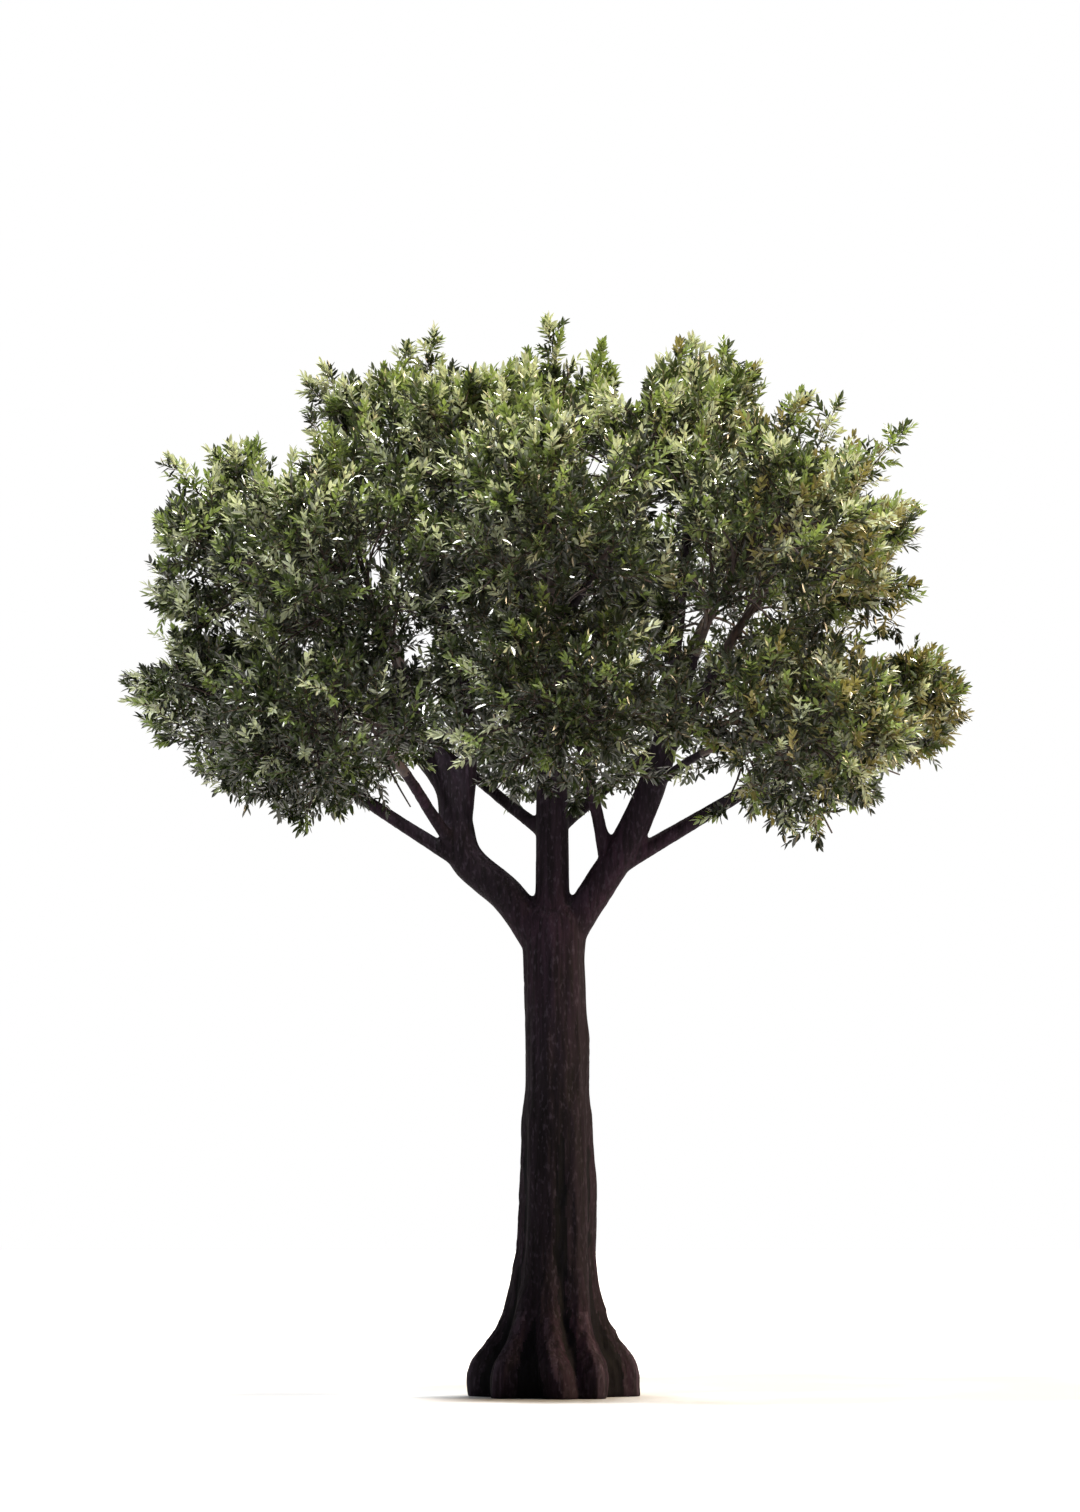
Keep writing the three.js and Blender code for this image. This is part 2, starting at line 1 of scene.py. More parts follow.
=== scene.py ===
"""The looks of an olive tree: bark in relief on trunk, limbs and boughs, and a crown of branches,
twigs, shoots and leaves that grow on from the boughs inside each mass's own space.
Metres, +Z up. The front of the tree is seen looking along +Y."""
import math

import bpy
import numpy as np
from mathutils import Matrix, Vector


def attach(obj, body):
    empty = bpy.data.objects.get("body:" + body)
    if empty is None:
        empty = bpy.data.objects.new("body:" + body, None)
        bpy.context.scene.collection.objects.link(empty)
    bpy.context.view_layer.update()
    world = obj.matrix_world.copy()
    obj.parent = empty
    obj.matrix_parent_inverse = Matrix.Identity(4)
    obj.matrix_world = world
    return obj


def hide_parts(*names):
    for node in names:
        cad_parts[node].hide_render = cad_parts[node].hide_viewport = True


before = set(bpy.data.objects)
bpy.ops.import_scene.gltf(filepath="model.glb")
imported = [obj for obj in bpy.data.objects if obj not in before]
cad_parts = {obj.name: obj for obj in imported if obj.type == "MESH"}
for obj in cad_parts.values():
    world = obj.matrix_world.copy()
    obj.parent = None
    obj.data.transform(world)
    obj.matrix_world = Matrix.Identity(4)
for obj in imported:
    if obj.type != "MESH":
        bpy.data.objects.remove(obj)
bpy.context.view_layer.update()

# Named sizes, in millimetres as on the solids.
MM = 0.001

# The trunk by height: how far its ridges reach, the share of that which is lost down in its
# flutes, its sway along x, and its depth as a share of its width.
RIDGE_REACH = [
    (0, 428), (110, 430), (180, 408), (250, 350), (325, 297), (410, 258), (550, 218),
    (720, 198), (1100, 188), (1375, 176), (1500, 159), (1680, 161), (1900, 154), (2160, 152),
    (2270, 163), (2360, 172), (2420, 140),
]
FLUTE_SHARE = [
    (0, 0.3), (250, 0.34), (410, 0.27), (600, 0.2), (1100, 0.17), (1350, 0.09), (1680, 0.05),
    (2420, 0.03),
]
TRUNK_SWAY = [(0, 0), (250, -4), (450, 0), (850, 14), (1680, 16), (2160, 0), (2420, 0)]
TRUNK_DEPTH = [(0, 1), (1700, 1), (2100, 0.94), (2270, 0.82), (2420, 0.62)]
# Each root ridge: its azimuth at the foot and up the trunk, and its strength.
ROOT_RIDGES = [
    (0, 0, 1), (46, 46, 0.9), (92, 92, 0.95), (136, 136, 0.88), (180, 180, 1),
    (226, 233, 0.95), (277, 247, 0.9), (303, 308, 0.93),
]
# How far a ridge has turned from its foot's azimuth to its upper one, and its width in degrees.
RIDGE_SHIFT = [(0, 0), (300, 0.4), (700, 1), (2420, 1)]
RIDGE_WIDTH = [(0, 16), (250, 17), (600, 26), (2420, 27)]
# How dark the painted shade in the hollows between the ridges is by height, and how high
# the pale crests, a painted highlight, reach.
HOLLOW_SHADE = [(0, 0.8), (300, 1), (500, 0.85), (1200, 0.85), (1380, 0.5), (1450, 0), (2420, 0)]
CREST_HEIGHT = 420
# How deep a place lies that takes the hollows' tint of painted shade, and how near a crest one
# that takes the crests' tint of painted highlight, with the noise that makes their edges ragged,
# and by how much.
HOLLOW_FROM = 0.46
CREST_FROM = 0.88
RAGGED = {"cell": (20, 20, 70), "seed": 71, "hollows": 0.12, "crests": 0.4}

# Each limb: its way from the fork up into the crown, and its radii at foot and tip.
LIMBS = {
    "left": {
        "way": [(-20, 0, 2190), (-225, 14, 2468), (-441, 38, 2668), (-486, 62, 2830),
                (-519, 95, 3030), (-690, 140, 3270), (-900, 200, 3530)],
        "foot": 89, "tip": 72,
    },
    "centre": {
        "way": [(-8, 0, 2300), (-8, 0, 2700), (-12, 5, 3150), (-5, 10, 3650), (-10, 10, 4060)],
        "foot": 87, "tip": 44,
    },
    "right": {
        "way": [(20, 0, 2210), (212, -14, 2505), (362, -38, 2745), (478, -66, 3000),
                (558, -104, 3260), (580, -150, 3560)],
        "foot": 84, "tip": 54,
    },
}
# How late a limb thins along its way, how much its foot swells, and over what share of the way.
LIMB_TAPER = 1.8
FOOT_SWELL = 0.22
SWELL_LENGTH = 0.16

# Each tier of the crown: how far out and up its masses stand, the tilt of their axes, and their
# half sizes along the axis, sideways and square to both.
TIERS = {
    "skirt": {"out": 1390, "up": 3340, "tilt": -6, "half": (740, 700, 540)},
    "shoulder": {"out": 1270, "up": 4080, "tilt": 24, "half": (760, 700, 640)},
    "upper": {"out": 740, "up": 4560, "tilt": 68, "half": (590, 590, 500)},
    "top": {"out": 30, "up": 4650, "tilt": 90, "half": (540, 480, 520)},
    "heart": {"out": 200, "up": 3900, "tilt": 90, "half": (480, 820, 640)},
}
# Each mass: its tier, side and azimuth, the limb that its bough leaves and where along it, the
# bough's rise, swing and radius, and what differs from its tier.
MASSES = [
    ("skirt", "right", 3, "right", 0.28, 29, 0, 46,
     {"more": (60, -55), "tilt": 27, "half": (640, 700, 375)}),
    ("skirt", "right_back", 45, "centre", 0.3, 36, 28, 31, {"more": (0, 130)}),
    ("skirt", "back", 92, "centre", 0.2, 38, 92, 31, {"more": (-60, 170)}),
    ("skirt", "left_back", 137, "centre", 0.29, 33, 158, 34, {"more": (0, 130)}),
    ("skirt", "left", 181, "left", 0.24, 33, 180, 41,
     {"more": (130, 30), "tilt": 41, "half": (650, 700, 460)}),
    ("skirt", "left_front", 227, "left", 0.32, 46, 195, 36, {"more": (-10, -140)}),
    ("skirt", "front", 272, "centre", 0.44, 20, 272, 28, {"more": (-60, -30)}),
    ("skirt", "right_front", 317, "right", 0.6, 30, 320, 28, {"more": (30, -170)}),
    ("shoulder", "right", -4, "right", 0.72, 48, 0, 34,
     {"more": (-75, 75), "tilt": 17, "half": (650, 700, 680)}),
    ("shoulder", "right_back", 46, "right", 0.86, 55, 50, 28, {"more": (20, 40)}),
    ("shoulder", "back", 93, "centre", 0.52, 55, 93, 29, {"more": (0, 20)}),
    ("shoulder", "left_back", 138, "left", 0.83, 50, 125, 28, {"more": (0, -30)}),
    ("shoulder", "left", 179, "left", 1, 50, 180, 36,
     {"more": (130, 10), "tilt": 16, "half": (650, 700, 650)}),
    ("shoulder", "left_front", 224, "left", 0.76, 50, 235, 28, {"more": (20, -150)}),
    ("shoulder", "front", 268, "right", 0.28, 78, 185, 34, {"more": (-10, -40)}),
    ("shoulder", "right_front", 314, "right", 0.8, 48, 305, 28, {"more": (20, -30)}),
    ("upper", "right", 10, "right", 1, 78, 20, 36, {"more": (0, 50), "half": (580, 560, 440)}),
    ("upper", "back", 95, "centre", 0.84, 60, 95, 27, {"half": (590, 650, 520)}),
    ("upper", "left", 172, "left", 0.45, 76, 0, 44,
     {"more": (70, -15), "half": (575, 590, 500)}),
    ("upper", "left_front", 238, "centre", 0.7, 62, 240, 27, {"more": (30, -140)}),
    ("upper", "right_front", 305, "centre", 0.77, 60, 300, 27, {"more": (60, -110)}),
    ("top", "centre", 0, "centre", 1, 88, 0, 34, {}),
    ("heart", "centre", 90, "centre", 0.57, 52, 35, 28, {}),
]
# Leading shoots that stand out of the crown: the tips of those that grow from each mass.
SPIRES = {
    "upper_left": [(-1200, 90, 5210), (-600, 60, 5385), (-1280, 60, 5130), (-745, 60, 5325)],
    "top_centre": [(-30, 0, 5435), (265, 0, 5290), (-150, 20, 5265)],
    "upper_right": [(695, 110, 5360), (880, 120, 5325), (1040, 40, 5190), (1340, -60, 5010)],
    "shoulder_right": [
        (1440, -80, 5010), (1800, -90, 4870), (1855, -60, 4460), (1865, -40, 4310),
        (1870, -20, 4035),
    ],
    "shoulder_left": [
        (-1530, 30, 4820), (-1990, 30, 4735), (-1750, 30, 4770), (-2045, 40, 4400),
        (-2045, 20, 3945),
    ],
    "skirt_left": [(-2190, -25, 3590)],
    "skirt_right": [(2070, 70, 3560)],
    "upper_back": [(60, 980, 5250)],
    "upper_left_front": [(-560, -720, 5080)],
    "upper_right_front": [(640, -680, 5190)],
    "shoulder_back": [(90, 1540, 4880)],
    "shoulder_front": [(-120, -1500, 4790)],
    "shoulder_left_back": [(-1120, 1120, 4930)],
    "shoulder_right_back": [(1150, 1170, 4950)],
    "shoulder_left_front": [(-1180, -1150, 4760)],
    "shoulder_right_front": [(1190, -1180, 4830)],
}
# How square a mass's shape is: 2 gives an ellipsoid, and more gives fuller corners.
SQUARENESS = 2.6
# How far a bough keeps the direction in which it leaves its limb, and the one in which it comes
# to its mass, as shares of the span between them.
BOUGH_LEAVING = 0.4
BOUGH_ARRIVING = 0.3
# A bough passes into its mass's stem where it comes this far inside the mass's shape, looked for
# from one share of its way to another in steps.
ENTRY = 0.82
ENTRY_STEPS = (0.1, 0.9, 0.01)
# The share of its radius that a bough keeps at its tip, and where on the mass's axis the stem
# ends, and its radius there.
BOUGH_TIP_SHARE = 0.72
STEM_END = 0.5
STEM_TIP_RADIUS = 9
# The room between a mass and the planes to its neighbours.
CELL_MARGIN = 6

# How finely the wood is drawn.
TRUNK_SIDES = 160
TRUNK_STEP = 14
LIMB_RINGS = 60
LIMB_SIDES = 28
BOUGH_RINGS = 34
BOUGH_SIDES = 14
STEM_RINGS = 10
STEM_SIDES = 8
# On how many samples the trunk's tables are eased, and over how many each is spread.
EASING_SAMPLES = 600
EASING_SPAN = 21
# How much thicker a bough's collar is at its limb, and how soon that fades along the bough.
COLLAR = 0.55
COLLAR_LENGTH = 0.07
# How far back in the bough a stem starts.
STEM_OVERLAP = 0.02

# The bark's relief: each feature's cell along x, y and z, its seed, and how far it stands out.
# Cords are sunk a little, and pits are only where the noise is below minus their free share.
KNOBS = {"cell": (150, 150, 260), "seed": 11, "height": 5}
CORDS = {"cell": (46, 46, 420), "seed": 23, "height": 9, "sunk": 4}
GRAIN = {"cell": (17, 17, 120), "seed": 37, "height": 2.4}
PITS = {"cell": (26, 26, 34), "seed": 51, "height": 5, "free": 0.35}
# The relief fades upwards to its least share, over a stretch below the height given here. It
# grows over a short stretch above the ground, and faces that lie level have none.
RELIEF_TOP = 2700
RELIEF_FADE = 900
LEAST_RELIEF = 0.25
GROUND_FADE = 60
LEVEL_POWER = 4

# How the branching is carried on to finer growth. A mass at the back has the first count of
# branches. In front and at the sides, upper masses and the top have fewer and all others more.
GROWTH_SEED = 7919
BRANCHES = 11
FULL_BRANCHES = 13
UPPER_BRANCHES = 9
# Branches open less towards the stem's tip, and turn on from one to the next by the golden angle
# and from mass to mass by another.
WIDEST_OPENING = 112
NARROWEST_OPENING = 14
GOLDEN_TURN = 137.5
MASS_TURN = 77
# How far out in the mass branches reach, and how that is drawn in where it leaves the space.
BRANCH_REACH = (0.74, 0.86)
BRANCH_TRIES = 40
BRANCH_SHRINK = 0.94
# Where branches stand along the stem, and how far they follow it before they turn to their tips.
BRANCHES_FROM = 0.05
BRANCHES_OVER = 0.9
BRANCH_LEAVING = 0.35
BRANCH_TURNING = 0.2
# Each kind of growth has its rings along, sides, radii at root and tip and room to the space's
# planes. Offshoots also have how many stand on a parent and between which shares of it, how far
# they open at its foot and how much less at its tip, the share past which they lead on and how
# far they open there, how that scatters, their length, how many times as long they are at the
# foot and how much less at the tip, and the shares between which their length scatters.
BRANCH = {"rings": 8, "sides": 6, "radii": (9, 4), "room": 20}
TWIG = {
    "rings": 5, "sides": 4, "radii": (3.6, 2), "room": 20,
    "count": 7, "along": (0.22, 1.0), "opening": 62, "closing": 38,
    "leads_past": 1, "leading": 0, "scatter": 8,
    "length": 400, "longest": 1, "shortening": 0.45, "lengths": (0.75, 1.15),
}
SHOOT = {
    "rings": 3, "sides": 3, "radii": (1.8, 1), "room": 2,
    "count": 7, "along": (0.3, 1.1), "opening": 48, "closing": 0,
    "leads_past": 0.9, "leading": 10, "scatter": 10,
    "length": 160, "longest": 1, "shortening": 0, "lengths": (0.7, 1.3),
}
SPIRE = {"rings": 10, "sides": 5, "radii": (7, 2)}
SPIRE_SHOOT = {
    "count": 16, "along": (0.45, 1.04), "opening": 42, "closing": 0,
    "leads_past": 0.97, "leading": 6, "scatter": 16,
    "length": 105, "longest": 2.1, "shortening": 1.3, "lengths": (0.6, 1.2),
}
# How unevenly offshoots are spaced.
SPACING_SCATTER = 0.3
# How often growth that leaves its space is shortened, and to what share each time.
SHRINK_TRIES = 7
SHRINK = 0.84
# From what height on, and over how much, the growth turns upright, and how strongly: what twigs
# and shoots have everywhere, and what they gain high up.
UPRIGHT = (3600, 900)
TWIG_LIFT = 0.18
TWIG_UPPER_LIFT = 0.25
SHOOT_LIFT = 0.25
SHOOT_UPPER_LIFT = 0.5
# How far out in the mass's shape twigs and shoots may reach, and how much less low shoots do.
TWIG_REACH = 0.87
SHOOT_REACH = (0.84, 1.04)
SHOOT_LOW_LOSS = 0.07
# Where leading shoots leave the stem, where and how far they bend, and how far below the tip
# they stop, where their last short shoot goes on.
SPIRE_FROM = 0.5
SPIRE_BEND = 0.55
SPIRE_SWAY = 60
SPIRE_TUFT = 120

# The leaves: opposite pairs along a shoot, from this share of it to its tip.
LEAF_PAIRS = 7
LEAVES_FROM = 0.12
LEAF_LENGTH = 65
LEAF_WIDTH = 24
LEAF_SIZES = (0.78, 1.12)
LEAF_SHORTENING = (0.95, 0.8)
# How far leaves open from the shoot at its foot and tip, and how their opening, the turn of a
# pair and the roll of a leaf scatter.
LEAF_OPENING = (62, 26)
LEAF_OPENING_SCATTER = 14
PAIR_TURN_SCATTER = 0.35
LEAF_ROLL = 0.55
# How deep a blade is folded beside its half width, and how far it droops beside its length.
LEAF_FOLD = 0.28
LEAF_DROOP = (0.02, 0.12)
# A blade's outline: the share of its length, half width, fold and droop at each point.
LEAF_OUTLINE = [
    (0, 0, 0, 0), (0.32, 0.95, 1, 0.2), (0.72, 0.7, 0.8, 0.65),
    (1, 0, 0, 1.1), (0.72, -0.7, 0.8, 0.65), (0.32, -0.95, 1, 0.2),
]
LEAF_POINTS = len(LEAF_OUTLINE)
LEAF_TRIANGLES = np.array([[0, k, k + 1] for k in range(1, LEAF_POINTS - 1)])

# Where the tree is seen from, and the places where the sky or bare wood then shows in and around
# the crown: x, z and half sizes where the lines of sight meet the trunk's plane.
EYE = (-70, -24000, 1000)
SKY_GAPS = [
    (-667, 3075, 35, 50), (-760, 2950, 50, 40), (845, 3050, 85, 45), (-345, 2960, 65, 55),
    (-905, 4205, 40, 25), (215, 4640, 50, 42), (1640, 4535, 85, 55), (1790, 4640, 95, 75),
    (1350, 4775, 80, 42), (-1400, 4685, 60, 85), (-1225, 4860, 65, 110), (95, 5150, 50, 70),
    (385, 5060, 60, 100), (1145, 4900, 85, 100), (600, 5235, 70, 60), (1665, 3715, 105, 28),
    (1890, 3840, 125, 55), (-2050, 3705, 105, 65), (-1400, 2770, 130, 35),
    (1820, 3030, 180, 85), (1500, 2820, 130, 60), (-740, 5180, 40, 40), (1790, 4150, 80, 45),
    (-1810, 4520, 40, 40), (-1900, 4590, 45, 40), (-850, 2820, 60, 60), (850, 2790, 60, 50),
    (-1930, 3180, 70, 30), (-1150, 2790, 60, 40), (-600, 2920, 50, 75),
]
# How far fine growth keeps out of the edges of those places, and off the thick wood, which is
# sampled at so many points.
SKY_MARGIN = 22
WOOD_CLEARANCE = 12
LIMB_SAMPLES = 50
BOUGH_SAMPLES = 24

# Small steps: a length of nothing, a nudge off it, how near a path's end counts as the end, and
# how far ahead on a stem and on a shoot its direction is read.
NO_LENGTH = 1e-12
NUDGE = 1e-9
PATH_END = 1e-6
STEM_AHEAD = 0.02
SHOOT_AHEAD = 0.01


def unit(vectors):
    return vectors / np.maximum(np.linalg.norm(vectors, axis=-1, keepdims=True), NO_LENGTH)


def direction_of(azimuth, rise):
    turn, lift = math.radians(azimuth), math.radians(rise)
    return np.array([math.cos(turn) * math.cos(lift), math.sin(turn) * math.cos(lift), math.sin(lift)])


def along(table, x):
    """The value at x of a table of (x, value) pairs in rising order."""
    return np.interp(x, [row[0] for row in table], [row[1] for row in table])


def risen(values, start, over):
    """How far values have risen from a start, as a share of the way over which they rise."""
    return np.clip((values - start) / over, 0, 1)


def spline(points, u):
    """Points at shares u of a smooth curve through the given points, with centripetal knots."""
    p = np.array(points, float)
    p = np.vstack([2 * p[0] - p[1], p, 2 * p[-1] - p[-2]])
    spans = len(points) - 1
    at = np.clip(np.asarray(u, float) * spans, 0, spans - NUDGE)
    i = at.astype(int)
    t = (at - i)[..., None]
    p0, p1, p2, p3 = p[i], p[i + 1], p[i + 2], p[i + 3]

    def knot(a, b):
        return np.sqrt(np.linalg.norm(b - a, axis=-1, keepdims=True))

    d0, d1, d2 = knot(p0, p1), knot(p1, p2), knot(p2, p3)
    m1 = ((p1 - p0) / d0 - (p2 - p0) / (d0 + d1) + (p2 - p1) / d1) * d1
    m2 = ((p2 - p1) / d1 - (p3 - p1) / (d1 + d2) + (p3 - p2) / d2) * d1
    return p1 + m1 * t + (3 * (p2 - p1) - 2 * m1 - m2) * t**2 + (2 * (p1 - p2) + m1 + m2) * t**3


def curve(corners, u):
    """Points at shares u of a curve that is drawn towards its three or four corners."""
    t = np.asarray(u, float)[..., None]
    layer = [np.asarray(c, float) for c in corners]
    while len(layer) > 1:
        layer = [a * (1 - t) + b * t for a, b in zip(layer, layer[1:])]
    return layer[0]


# The limbs, boughs and masses, as on the solids.
def limb_point(limb, u):
    return spline(LIMBS[limb]["way"], u)


def limb_radius(limb, u):
    size = LIMBS[limb]
    swell = 1 + FOOT_SWELL * np.maximum(0, 1 - u / SWELL_LENGTH) ** 2
    return (size["foot"] + (size["tip"] - size["foot"]) * u**LIMB_TAPER) * swell


masses = []
for index, (tier, side, azimuth, limb, at, rise, swing, radius, own) in enumerate(MASSES):
    shape = TIERS[tier]
    more_out, more_up = own.get("more", (0, 0))
    axis = direction_of(azimuth, own.get("tilt", shape["tilt"]))
    sideways = direction_of(azimuth + 90, 0)
    half = np.array(own.get("half", shape["half"]), float)
    centre = direction_of(azimuth, 0) * (shape["out"] + more_out)
    centre[2] = shape["up"] + more_up
    start = limb_point(limb, at)
    span = np.linalg.norm(start - centre)
    masses.append({
        "name": f"{tier}_{side}", "index": index, "tier": tier, "azimuth": azimuth,
        "axes": np.array([axis, sideways, np.cross(axis, sideways)]),
        "centre": centre, "half": half, "radius": radius,
        "corners": [
            start, start + direction_of(swing, rise) * span * BOUGH_LEAVING,
            centre - axis * span * BOUGH_ARRIVING, centre + axis * half[0] * STEM_END,
        ],
    })
CENTRES = np.array([mass["centre"] for mass in masses])
WEIGHTS = np.array([mass["half"].mean() for mass in masses])


def outness(mass, points):
    """How far out in a mass's rounded shape points are: 0 at its centre, 1 on its surface."""
    local = np.abs((points - mass["centre"]) @ mass["axes"].T / mass["half"])
    return (local**SQUARENESS).sum(-1) ** (1 / SQUARENESS)


def in_space(mass, points, room=CELL_MARGIN, reach=1.0):
    """True where points are in a mass's shape and on its side of the planes to the others."""
    others = np.arange(len(masses)) != mass["index"]
    power = ((points[..., None, :] - CENTRES) ** 2).sum(-1) - WEIGHTS**2
    gaps = np.linalg.norm(CENTRES - mass["centre"], axis=1)
    clear = (power[..., others] - power[..., [mass["index"]]]) / (2 * gaps[others]) > room
    return clear.all(-1) & (outness(mass, points) < reach)


for mass in masses:
    entry, last, step = ENTRY_STEPS
    while entry < last:
        point = curve(mass["corners"], [entry])
        if outness(mass, point)[0] < ENTRY and in_space(mass, point, mass["radius"])[0]:
            break
        entry += step
    mass["entry"] = entry


def bough_radius(mass, u):
    return mass["radius"] * (1 + (BOUGH_TIP_SHARE - 1) * u / mass["entry"])


def stem_radius(mass, u):
    share = (u - mass["entry"]) / (1 - mass["entry"])
    foot = mass["radius"] * BOUGH_TIP_SHARE
    return foot + (STEM_TIP_RADIUS - foot) * share


# Points along all the thick wood, with its radius there, that fine growth keeps clear of.
wood_points, wood_radii = [], []
for name in LIMBS:
    u = np.linspace(0, 1, LIMB_SAMPLES)
    wood_points.append(limb_point(name, u))
    wood_radii.append(limb_radius(name, u))
for mass in masses:
    u = np.linspace(0, mass["entry"], BOUGH_SAMPLES)
    wood_points.append(curve(mass["corners"], u))
    wood_radii.append(bough_radius(mass, u))
wood_points = np.vstack(wood_points)
wood_radii = np.concatenate(wood_radii)


def clear_of_wood(points):
    far = np.linalg.norm(points[:, None] - wood_points, axis=-1)
    return (far > wood_radii + WOOD_CLEARANCE).all(-1)


def clear_of_sky(points):
    """True where the lines of sight to points keep out of all the open places."""
    seen = EYE + (points - EYE) * (EYE[1] / (EYE[1] - points[:, 1:2]))
    clear = np.ones(len(points), bool)
    for x, z, half_x, half_z in SKY_GAPS:
        across = (seen[:, 0] - x) / (half_x + SKY_MARGIN)
        upright = (seen[:, 2] - z) / (half_z + SKY_MARGIN)
        clear &= across**2 + upright**2 > 1
    return clear


# Meshes from arrays of tubes.
def square_to(direction):
    """Two unit vectors square to each direction and to each other."""
    helper = np.where(np.abs(direction[..., 2:3]) < 0.9, [0.0, 0.0, 1.0], [1.0, 0.0, 0.0])
    side = unit(np.cross(direction, helper))
    return side, np.cross(direction, side)


def walls(low, sides):
    """The quads between rings of so many sides, from the rings that start at low to the next."""
    here = np.arange(sides)
    after = (here + 1) % sides
    quads = np.stack([low + here, low + after, low + sides + after, low + sides + here], -1)
    return quads.reshape(-1, 4)


def tubes(paths, radii, sides):
    """Closed tubes along paths of shape (tubes, rings, 3), as (vertices, quads, triangles)."""
    count, rings, _ = paths.shape
    tangent = unit(np.gradient(paths, axis=1))
    chord = unit(paths[:, -1] - paths[:, 0])
    side, _ = square_to(chord)
    wide = unit(side[:, None] - tangent * (side[:, None] * tangent).sum(-1, keepdims=True))
    deep = np.cross(tangent, wide)
    turn = np.arange(sides) * 2 * math.pi / sides
    ring = (wide[:, :, None] * np.cos(turn)[:, None] + deep[:, :, None] * np.sin(turn)[:, None])
    vertices = paths[:, :, None] + ring * radii[:, :, None, None]
    first = np.arange(count)[:, None] * rings * sides
    low = first[..., None] + np.arange(rings - 1)[:, None] * sides
    fan = np.arange(1, sides - 1)
    last = first + (rings - 1) * sides
    bottoms = np.stack([first + 0 * fan, first + fan + 1, first + fan], -1)
    tops = np.stack([last + 0 * fan, last + fan, last + fan + 1], -1)
    triangles = np.concatenate([bottoms.reshape(-1, 3), tops.reshape(-1, 3)])
    return vertices.reshape(-1, 3), walls(low, sides), triangles


def joined(parts):
    """Several (vertices, quads, triangles) as one."""
    offset, vertices, quads, triangles = 0, [], [], []
    for v, q, t in parts:
        vertices.append(v)
        quads.append(q + offset)
        triangles.append(t + offset)
        offset += len(v)
    return np.vstack(vertices), np.vstack(quads), np.vstack(triangles)


def placed(name, data):
    """A new object with the given data, in the scene."""
    made = bpy.data.objects.new(name, data)
    bpy.context.scene.collection.objects.link(made)
    return made


def mesh_object(name, vertices, quads, triangles, slots=None, smooth=True):
    """A mesh object in metres from arrays in millimetres."""
    mesh = bpy.data.meshes.new(name)
    mesh.vertices.add(len(vertices))
    mesh.vertices.foreach_set("co", (vertices * MM).astype(np.float32).ravel())
    loops = np.concatenate([quads.ravel(), triangles.ravel()]).astype(np.int32)
    sizes = np.concatenate([np.full(len(quads), 4), np.full(len(triangles), 3)])
    mesh.loops.add(len(loops))
    mesh.loops.foreach_set("vertex_index", loops)
    mesh.polygons.add(len(sizes))
    mesh.polygons.foreach_set("loop_start", (np.cumsum(sizes) - sizes).astype(np.int32))
    mesh.polygons.foreach_set("use_smooth", np.full(len(sizes), smooth))
    if slots is not None:
        mesh.polygons.foreach_set("material_index", slots.astype(np.int32))
    mesh.update(calc_edges=True)
    mesh.validate()
    return placed(name, mesh)


# The growth inside each mass: branches from its stem, twigs from them, and leafy shoots.
def sprouted(paths, kind, rng):
    """Roots, directions and lengths of a kind's offshoots on each path."""
    count = kind["count"]
    first, last = kind["along"]
    parents, rings, _ = paths.shape
    u = first + (last - first) * (np.arange(count) + 0.5) / count
    uneven = rng.uniform(-SPACING_SCATTER, SPACING_SCATTER, (parents, count))
    u = np.clip(u + uneven * (last - first) / count, 0, 1)
    at = np.clip(u * (rings - 1), 0, rings - 1 - PATH_END)
    i = at.astype(int)
    rows = np.arange(parents)[:, None]
    roots = paths[rows, i] + (paths[rows, i + 1] - paths[rows, i]) * (at - i)[..., None]
    tangent = unit(paths[rows, i + 1] - paths[rows, i])
    turn = np.radians(GOLDEN_TURN) * np.arange(count) + rng.uniform(0, 2 * math.pi, (parents, 1))
    side, up = square_to(tangent)
    square = side * np.cos(turn)[..., None] + up * np.sin(turn)[..., None]

    opening = kind["opening"] - kind["closing"] * u
    opening = np.where(u > kind["leads_past"], kind["leading"], opening)
    opening = opening + rng.uniform(-kind["scatter"], kind["scatter"], u.shape)
    opening = np.radians(opening)[..., None]
    directions = unit(tangent * np.cos(opening) + square * np.sin(opening))
    longer = kind["longest"] - kind["shortening"] * u
    lengths = kind["length"] * longer * rng.uniform(*kind["lengths"], u.shape)
    return roots.reshape(-1, 3), directions.reshape(-1, 3), lengths.ravel()


def grown(mass, sprouts, kind, lift, reach):
    """The paths that leave their roots in a direction, bend upwards and keep to their space."""
    roots, directions, lengths = sprouts
    share = np.linspace(0, 1, kind["rings"])[:, None]
    ways = directions[:, None] * share + np.array([0, 0, 1.0]) * lift * share**2
    for _ in range(SHRINK_TRIES):
        tips = roots + ways[:, -1] * lengths[:, None]
        outside = ~in_space(mass, tips, kind["room"], reach)
        lengths = np.where(outside, lengths * SHRINK, lengths)
    paths = roots[:, None] + ways * lengths[:, None, None]
    keep = in_space(mass, paths[:, -1], kind["room"], reach)
    for points in (paths[:, kind["rings"] // 2], paths[:, -1]):
        keep &= clear_of_wood(points) & clear_of_sky(points)
    return paths[keep]


def uprightness(mass):
    return risen(mass["centre"][2], *UPRIGHT)


def branch_count(mass):
    if mass["name"].endswith("back"):
        return BRANCHES
    return UPPER_BRANCHES if mass["tier"] in ("upper", "top") else FULL_BRANCHES


